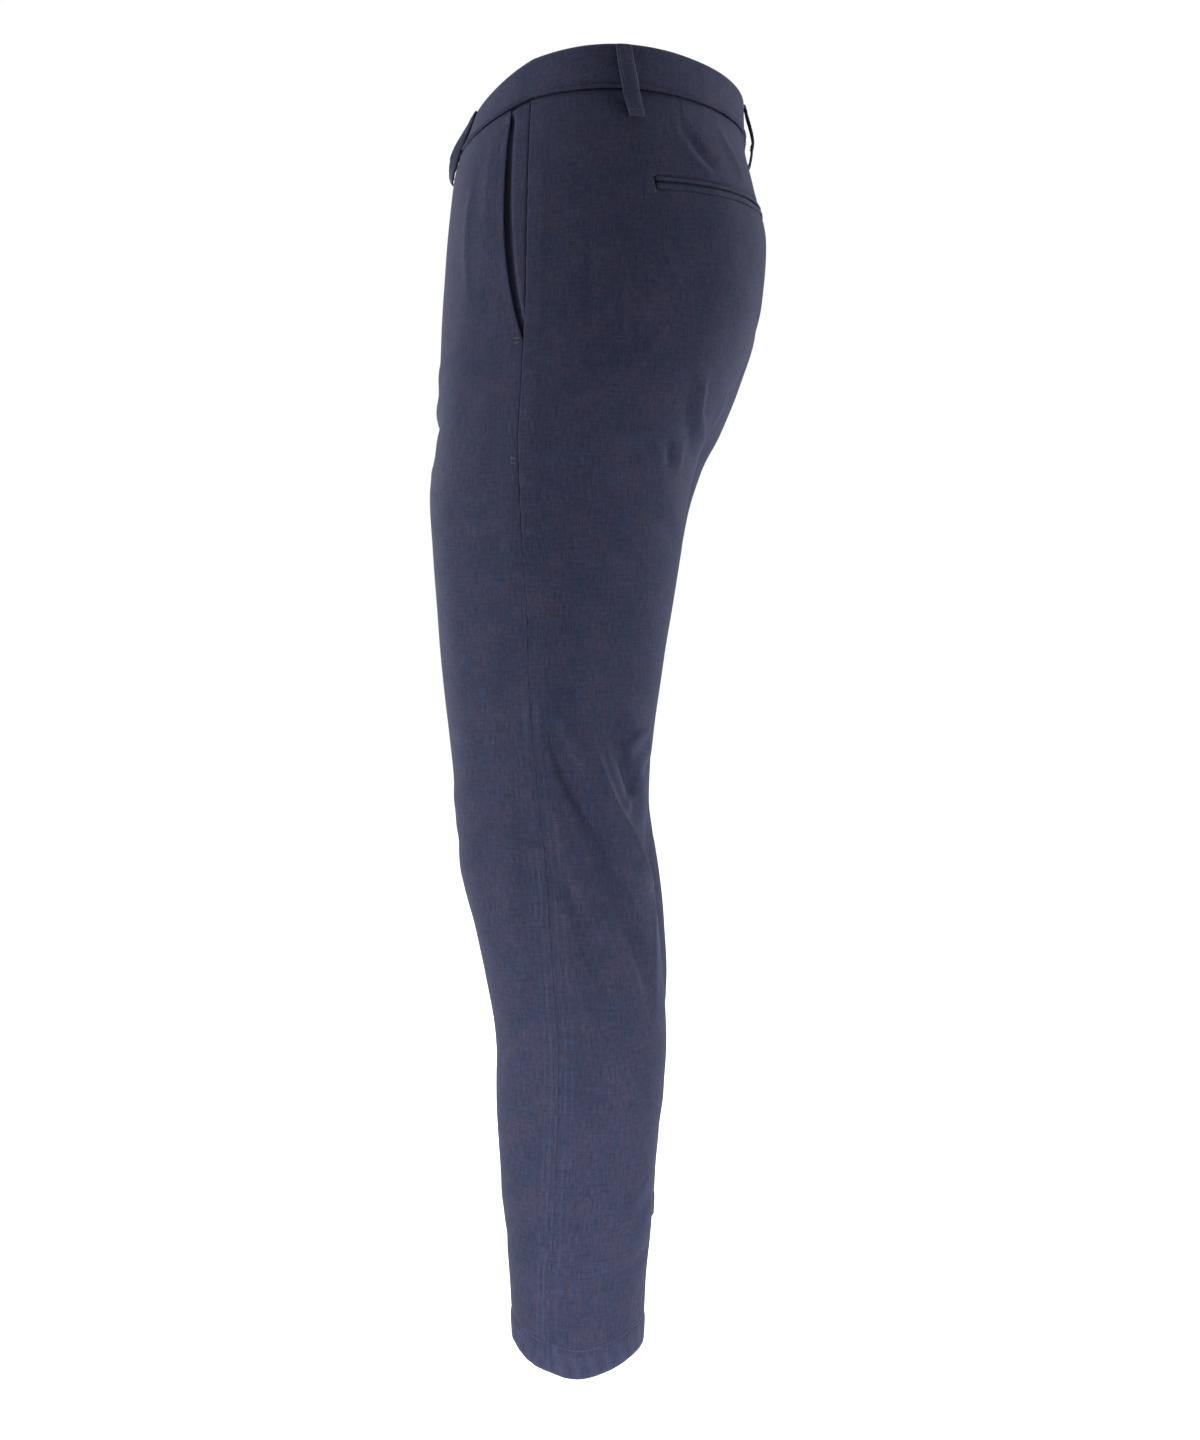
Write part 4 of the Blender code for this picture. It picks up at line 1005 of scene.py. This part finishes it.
def loop_points(behind, distance, clearance, turn=0.0, lean=0.0):
    """A loop at this distance from the centre seam, clear of the cloth by clearance. It turns
    edge on by turn, and leans away from the centre seam by lean on its way down."""
    shares = refined([0, 1], 1 / 44)
    across = np.linspace(-1, 1, 13)
    levels = [-LOOP_TOP_INSET - share * (LOOP_LENGTH - LOOP_TOP_INSET) for share in shares]
    points, heights = [], []
    for share, level, line in zip(shares, levels, row_lines(levels, behind)):
        whole = np.concatenate([line, (line * (-1, 1, 1))[::-1][1:]])
        at = run_of(whole)
        here = at[len(line) - 1] - distance - lean * share + across * LOOP_WIDTH / 2
        here = here if behind else here[::-1]
        points.append(points_at(here, at, whole))
        foot = 0.4 + (BAND_PROUD if level > WAIST_SIDE_Z - 4 else 0)
        # A loop stands off most a little below its middle.
        bulge = math.sin(math.pi * share**1.4) ** 0.8 if 0 < share < 1 else 0.0
        edge = -0.7 * np.abs(across) ** 8 - 0.25 * bell(np.abs(across) - 0.72, 0.07)
        ends = 0.3 * ease(share / 0.03) * ease((0.13 - share) / 0.03)
        ends += 0.4 * ease((1 - share) / 0.03) * ease((share - 0.87) / 0.03)
        heights.append(foot + (clearance - turn * across) * bulge + edge + ends)
    return moved_out(np.array(points), np.array(heights)), np.array(shares)


def belt_loop(place, points, shares):
    """The loop at a place on the band. Its edges and ends are rubbed pale."""
    half = LOOP_WIDTH / 2
    across = np.linspace(-half, half, points.shape[1])[None, :]
    wear = 0.12 * (np.abs(across) / half) ** 6 + 0.2 * np.exp(-shares[:, None] / 0.02)
    wear = wear + 0.2 * np.exp(-(1 - shares[:, None]) / 0.02)
    flat_v = -shares[:, None] * LOOP_LENGTH
    piece = shell(f"{place}_loop", points, LOOP_CLOTH, TWILL, across, flat_v, wear, outward=True)
    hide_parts(f"belt_loop_{place}")
    return piece


front_loop, shares = loop_points(False, FRONT_LOOP_PLACE, FRONT_LOOP_CLEARANCE, 3.0)
side_loop, _ = loop_points(True, SIDE_LOOP_PLACE, LOOP_CLEARANCE, lean=2.5)
centre_loop, _ = loop_points(True, 0.0, LOOP_CLEARANCE)
loop_grids = {
    "left_front": front_loop, "right_front": mirrored(front_loop), "left_side": side_loop,
    "right_side": mirrored(side_loop), "centre_back": centre_loop,
}
loops = [belt_loop(place, points, shares) for place, points in loop_grids.items()]

# ---------------------------------------------------------------------------------------------
# The stitching: a core-spun sewing thread in navy, 2.6 mm to the stitch. It runs round the
# hems, along the pocket mouths and the fly, and down both edges of each belt loop. Bar tacks
# of close stitches hold the ends of the pockets and of the loops.
# ---------------------------------------------------------------------------------------------
STITCH, STITCH_SPACE, THREAD, FINE_THREAD = 2.6, 3.2, 0.34, 0.3
FLY_CURVE, OUTSEAM_TACK_Z = 42.0, -316.0


def sewing_thread(name, colour):
    """Spun polyester thread, twisted: a little glossier than the cloth it lies on."""
    made, tree, surface = new_finish(name, {"Roughness": 0.6, "Sheen Weight": 0.08})
    place = add_node(tree, "TexCoord").outputs["Object"]
    # The twist is 0.5 mm to the turn.
    light = spread(tree, noise(tree, place, 2000, 1), 0.0, 1.0, 0.75, 1.25)
    shaded = mixed(tree, 1.0, linear(colour), light, "MULTIPLY")
    tree.links.new(shaded, surface.inputs["Base Color"])
    return made


THREAD_NAVY = sewing_thread("navy_sewing_thread", "#262a40")


def stitch_line(line, spacing=STITCH_SPACE, length=STITCH):
    """The runs of points on the cloth that the stitches of a line cover, one for each."""
    line = np.array(line, float)
    at = run_of(line)
    runs = []
    for start in np.arange(spacing / 2, at[-1] - length, spacing):
        here = np.linspace(start, start + length, 4)
        runs.append(points_at(here, at, line))
    return runs


def stitches(name, runs, radius=THREAD, sides=6):
    """All the stitches of a piece as one mesh: short round threads with closed ends."""
    verts, faces = [], []
    for run in runs:
        first = len(verts)
        for k, point in enumerate(run):
            ahead = run[min(k + 1, len(run) - 1)] - run[max(k - 1, 0)]
            ahead /= np.linalg.norm(ahead) + 1e-9
            side = np.cross(ahead, (0.3, 0.2, 0.93))
            side /= np.linalg.norm(side) + 1e-9
            up = np.cross(side, ahead)
            size = radius * (0.55 if k in (0, len(run) - 1) else 1.0)
            for turn in np.arange(sides) * 2 * np.pi / sides:
                verts.append((point + size * (side * np.cos(turn) + up * np.sin(turn))) * MM)
        for k in range(len(run) - 1):
            for m in range(sides):
                a, b = first + k * sides + m, first + k * sides + (m + 1) % sides
                faces.append((a, b, b + sides, a + sides))
        last = first + (len(run) - 1) * sides
        faces.append(tuple(range(first + sides - 1, first - 1, -1)))
        faces.append(tuple(range(last, last + sides)))
    mesh = bpy.data.meshes.new(name)
    mesh.from_pydata([tuple(v) for v in verts], [], faces)
    mesh.shade_smooth()
    mesh.materials.append(THREAD_NAVY)
    piece = placed(name, mesh)
    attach(piece, "root")
    return piece


def raised(grid, height, lift=0.02):
    """The face of a panel that thread lies on."""
    return moved_out(grid.points, height + lift)


hem_row = nearest_to(HEM_Z + HEM_DEPTH, LEVELS)
left_runs, right_runs = [], []
for grid, left_height, right_height in (
    (FRONT_GRID, FRONT_HEIGHT, RIGHT_FRONT_HEIGHT), (BACK_GRID, BACK_HEIGHT, RIGHT_BACK_HEIGHT)
):
    left_runs += stitch_line(raised(grid, left_height)[hem_row])
    right_runs += stitch_line(mirrored(raised(grid, right_height))[hem_row])
left_hem_stitches = stitches("left_hem_stitches", left_runs)
right_hem_stitches = stitches("right_hem_stitches", right_runs)


def at_distance(surface, from_edge, distances, rows):
    """The line on a piece that keeps these distances from one of its edges, row by row."""
    line = []
    for i, distance in zip(rows, distances):
        order = np.argsort(from_edge[i])
        line.append(points_at(distance, from_edge[i][order], surface[i][order]))
    return np.array(line)


pocket_rows = [i for i, z in enumerate(LEVELS) if POCKET_END_Z - 2 < z < WAIST_SIDE_Z - 1]
from_mouth = FRONT_GRID.s - pocket_set_back(FRONT_GRID.level)
mouth_distances = [POCKET_STITCH] * len(pocket_rows)
left_surface = raised(FRONT_GRID, FRONT_HEIGHT)
left_line = at_distance(left_surface, from_mouth, mouth_distances, pocket_rows)
left_pocket_stitches = stitches("left_pocket_stitches", stitch_line(left_line))
right_surface = mirrored(raised(FRONT_GRID, RIGHT_FRONT_HEIGHT))[:, ::-1]
right_line = at_distance(right_surface, from_mouth, mouth_distances, pocket_rows)
right_pocket_stitches = stitches("right_pocket_stitches", stitch_line(right_line))

# The fly's line leaves the waist 34 mm from the edge and curves in to it at its foot.
edge_z = FRONT_GRID.points[:, 0, 2]
fly_rows = [i for i, z in enumerate(edge_z) if z > FLY_END_Z]
fly_distances = [
    FLY_WIDTH * math.sqrt(max(0.0, 1 - max(0.0, 1 - (edge_z[i] - FLY_END_Z) / FLY_CURVE) ** 2))
    for i in fly_rows
]
fly_line = at_distance(left_surface, FRONT_GRID.e, fly_distances, fly_rows)
fly_stitches = stitches("fly_stitches", stitch_line(fly_line))

loop_runs = []
for points in loop_grids.values():
    top = moved_out(points, LOOP_CLOTH - 0.05)
    loop_runs.append(stitch_line(top[2:-2, 2]) + stitch_line(top[2:-2, -3]))
    # A bar tack of close stitches crosses the loop near each end.
    for row in (3, -4):
        loop_runs[-1] += stitch_line(top[row, 2:-2], 1.3, 1.2)
loop_stitches = [
    stitches(f"{piece.name}_stitches", runs, FINE_THREAD) for piece, runs in zip(loops, loop_runs)
]

# Five stitches tack each end of a pocket's mouth and the outseam below it, and three runs
# each end of a back pocket's window.
tack_runs = {"left": [], "right": []}
for side, surface_front, surface_back in (
    ("left", left_surface, raised(BACK_GRID, BACK_HEIGHT)),
    ("right", right_surface, mirrored(raised(BACK_GRID, RIGHT_BACK_HEIGHT))[:, ::-1]),
):
    for z in (POCKET_END_Z + 2, WAIST_SIDE_Z - 8, OUTSEAM_TACK_Z):
        i = nearest_to(z, LEVELS)
        edge = pocket_set_back(LEVELS[i])
        for k in range(5):
            row = surface_front[i + (k > 2)]
            places = FRONT_GRID.s[i + (k > 2)]
            order = np.argsort(places)
            reach = np.linspace(edge + 0.5, edge + 6.0, 4)
            run = points_at(reach, places[order], row[order])
            run[:, 2] += 0.7 * (k % 3) - 0.7
            tack_runs[side].append(run)
    for share in (WELT_FROM, WELT_TO):
        column = nearest_to(share, BACK_SHARES)
        rows = surface_back[WINDOW_ROWS[0] - 1 : WINDOW_ROWS[1] + 2, column]
        for k in range(3):
            away = np.array((0, 0.5 * k * (1 if share == WELT_TO else -1), 0))
            tack_runs[side] += stitch_line(rows + away, 1.6, 1.5)
left_tacks = stitches("left_pocket_tacks", tack_runs["left"], FINE_THREAD)
right_tacks = stitches("right_pocket_tacks", tack_runs["right"], FINE_THREAD)

# The panels with their flat sizes as they were cut, their areas and the stitches that hold them;
# the loop below only turns each set of stitches into a list
for side, piece, flat, area, threads in (
    ("left", left_front, (0.27, 0.98), 0.19, [left_pocket_stitches, left_tacks, fly_stitches]),
    ("right", right_front, (0.27, 0.98), 0.19, [right_pocket_stitches, right_tacks]),
    ("left", left_back, (0.30, 1.02), 0.24, [left_hem_stitches]),
    ("right", right_back, (0.30, 1.02), 0.24, [right_hem_stitches]),
):
    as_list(threads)

# ---------------------------------------------------------------------------------------------
# The waistband's button: cast polyester resin, turned with a raised rim and four holes, and
# sewn on with two bars of thread. It is fastened through a worked buttonhole.
# ---------------------------------------------------------------------------------------------
BUTTON_THICK = 2.8
HOLE_RADIUS, HOLE_SPACING, BUTTON_THREAD = 0.9, 1.5, 0.26


def button_resin(name):
    """Cast polyester, tumbled to a soft gloss, with the cloudy streaks of horn."""
    made, tree, surface = new_finish(name, {"IOR": 1.54})
    place = add_node(tree, "TexCoord").outputs["Object"]
    # Streaks are about 1.5 mm wide and 6 mm long.
    streaks = noise(tree, place, 1.0, 4, stretch=(160, 600, 600), distortion=1.2)
    share = spread(tree, streaks, 0.35, 0.7)
    coloured = mixed(tree, share, linear("#1b1d2b"), linear("#383b50"))
    tree.links.new(coloured, surface.inputs["Base Color"])
    rough = spread(tree, streaks, 0.0, 1.0, 0.24, 0.4)
    tree.links.new(rough, surface.inputs["Roughness"])
    return made


def as_mesh(shape, name):
    """A built shape as a mesh, which uses the shape up."""
    made = bpy.data.meshes.new(name)
    shape.to_mesh(made)
    shape.free()
    return made


low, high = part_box("waist_button")
button_centre = (low + high) / 2
outward = Vector((0.1, -1.0, 0.12)).normalized()
profile = [
    (0.0, 0.9), (2.6, 0.95), (4.2, 1.15), (5.0, 1.75), (5.6, 2.45), (6.2, 2.75), (6.8, 2.7),
    (7.2, 2.35), (7.45, 1.8), (7.45, 1.1), (7.0, 0.45), (6.3, 0.1), (5.2, 0.0), (0.0, 0.0),
]
shape = bmesh.new()
ring = [shape.verts.new((x * MM, 0, (z - BUTTON_THICK / 2) * MM)) for x, z in profile]
edges = [shape.edges.new(pair) for pair in zip(ring, ring[1:])]
bmesh.ops.spin(
    shape, geom=ring + edges, cent=(0, 0, 0), axis=(0, 0, 1), angle=2 * math.pi, steps=64,
    use_merge=True,
)
bmesh.ops.remove_doubles(shape, verts=shape.verts[:], dist=1e-6)
bmesh.ops.recalc_face_normals(shape, faces=shape.faces[:])
mesh = as_mesh(shape, "waist_button_resin")
mesh.shade_smooth()
mesh.materials.append(button_resin("dark_button_resin"))
button = placed("waist_button_resin", mesh)
for k in range(4):
    turn = math.pi / 4 + k * math.pi / 2
    drill_shape = bmesh.new()
    bmesh.ops.create_cone(
        drill_shape, cap_ends=True, segments=20, radius1=HOLE_RADIUS * MM,
        radius2=HOLE_RADIUS * MM, depth=8 * MM,
    )
    drill_mesh = as_mesh(drill_shape, f"drill_{k}")
    drill_mesh.transform(
        Matrix.Translation(
            (HOLE_SPACING * MM * math.cos(turn), HOLE_SPACING * MM * math.sin(turn), 0)
        )
    )
    drill = placed(f"drill_{k}", drill_mesh)
    cut = button.modifiers.new(f"hole_{k}", "BOOLEAN")
    cut.object = drill
    bpy.context.view_layer.update()
    graph = bpy.context.evaluated_depsgraph_get()
    cut_mesh = bpy.data.meshes.new_from_object(button.evaluated_get(graph))
    button.modifiers.clear()
    button.data = cut_mesh
    bpy.data.objects.remove(drill)
button.location = button_centre
button.rotation_mode = "QUATERNION"
button.rotation_quaternion = outward.to_track_quat("Z", "Y")
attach(button, "root")
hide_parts("waist_button")

right_way = outward.to_track_quat("Z", "Y")
thread_runs = []
for sign in (-1, 1):
    for shift in (-0.25, 0.05, 0.3):
        run = []
        for x, z in ((-1.5, -0.6), (-1.1, 0.3), (0, 0.45), (1.1, 0.3), (1.5, -0.6)):
            place = Vector((x, sign * 1.06 + shift, z)) * MM
            run.append(np.array(button_centre + right_way @ place) / MM)
        thread_runs.append(np.array(run))
stitches("button_thread", thread_runs, BUTTON_THREAD)

# ---------------------------------------------------------------------------------------------
# The studio: a pale seamless floor, a white surround, and large soft lights. The camera
# stands to the wearer's left, level, a little below the hips.
# ---------------------------------------------------------------------------------------------
FLOOR_DROP = 0.09
floor_material = new_finish("pale_studio_paper", {
    "Base Color": linear("#f4f4f4"), "Roughness": 0.95, "Emission Color": (1, 1, 1, 1),
    "Emission Strength": 0.95,
})[0]
shape = bmesh.new()
bmesh.ops.create_grid(shape, x_segments=1, y_segments=1, size=8.0)
mesh = as_mesh(shape, "studio_floor")
mesh.materials.append(floor_material)
floor = placed("studio_floor", mesh)
floor.location = (0, 0, cad_box[0].z - FLOOR_DROP)
floor.visible_diffuse = False

# The surround is a white dome that only the camera sees, so that it adds no light.
shape = bmesh.new()
bmesh.ops.create_uvsphere(shape, u_segments=48, v_segments=24, radius=7.5)
mesh = as_mesh(shape, "studio_dome")
dome_material = new_finish("lit_white_cyclorama", {
    "Base Color": (0, 0, 0, 1), "Specular IOR Level": 0.0, "Emission Color": (1, 1, 1, 1),
    "Emission Strength": 1.0,
})[0]
mesh.materials.append(dome_material)
dome = placed("studio_dome", mesh)
for ray in ("diffuse", "glossy", "transmission", "volume_scatter", "shadow"):
    setattr(dome, f"visible_{ray}", False)

world = bpy.data.worlds.new("studio_surround")
world.use_nodes = True
world.node_tree.nodes["Background"].inputs["Color"].default_value = (1, 1, 1, 1)
world.node_tree.nodes["Background"].inputs["Strength"].default_value = 0.15
bpy.context.scene.world = world

bpy.context.scene.view_settings.view_transform = "Standard"

Softbox = namedtuple("Softbox", "name place aim width height watts")
for box in [
    Softbox("front_side", (0.30, -2.0, -0.15), (0.08, 0, -0.45), 0.35, 1.3, 34),
    Softbox("back_side", (0.45, 2.0, -0.40), (0.08, 0, -0.55), 0.35, 1.5, 26),
    Softbox("key_low", (0.95, -0.85, -0.8), (0.1, 0, -0.85), 0.4, 0.5, 5.5),
    Softbox("low_left", (0.65, 0.1, -1.0), (0.15, 0, -0.9), 0.6, 0.12, 4),
    Softbox("right_front", (-1.3, -1.5, -0.1), (-0.1, 0, -0.5), 0.4, 1.0, 18),
    Softbox("right_back", (-1.0, 1.6, -0.1), (-0.1, 0, -0.5), 0.4, 1.0, 20),
    Softbox("overhead", (0.2, 0.1, 1.6), (0, 0, 0), 0.8, 0.8, 12),
]:
    light = bpy.data.lights.new(box.name, "AREA")
    light.shape = "RECTANGLE"
    light.size, light.size_y = box.width, box.height
    light.energy = box.watts
    lamp = placed(box.name, light)
    lamp.location = box.place
    lamp.visible_camera = False
    toward = Vector(box.aim) - Vector(box.place)
    lamp.rotation_mode = "QUATERNION"
    lamp.rotation_quaternion = toward.to_track_quat("-Z", "Y")

camera_data = bpy.data.cameras.new("camera")
camera_data.sensor_width = 36.0
camera_data.lens = 36.675
camera_data.shift_x = -0.0708
camera_data.shift_y = -0.0854
camera_data.clip_end = 30.0
camera = placed("camera", camera_data)
camera.location = (1.270, 0.078, -0.420)
camera.rotation_euler = (math.radians(90), 0, math.radians(90))
bpy.context.scene.camera = camera
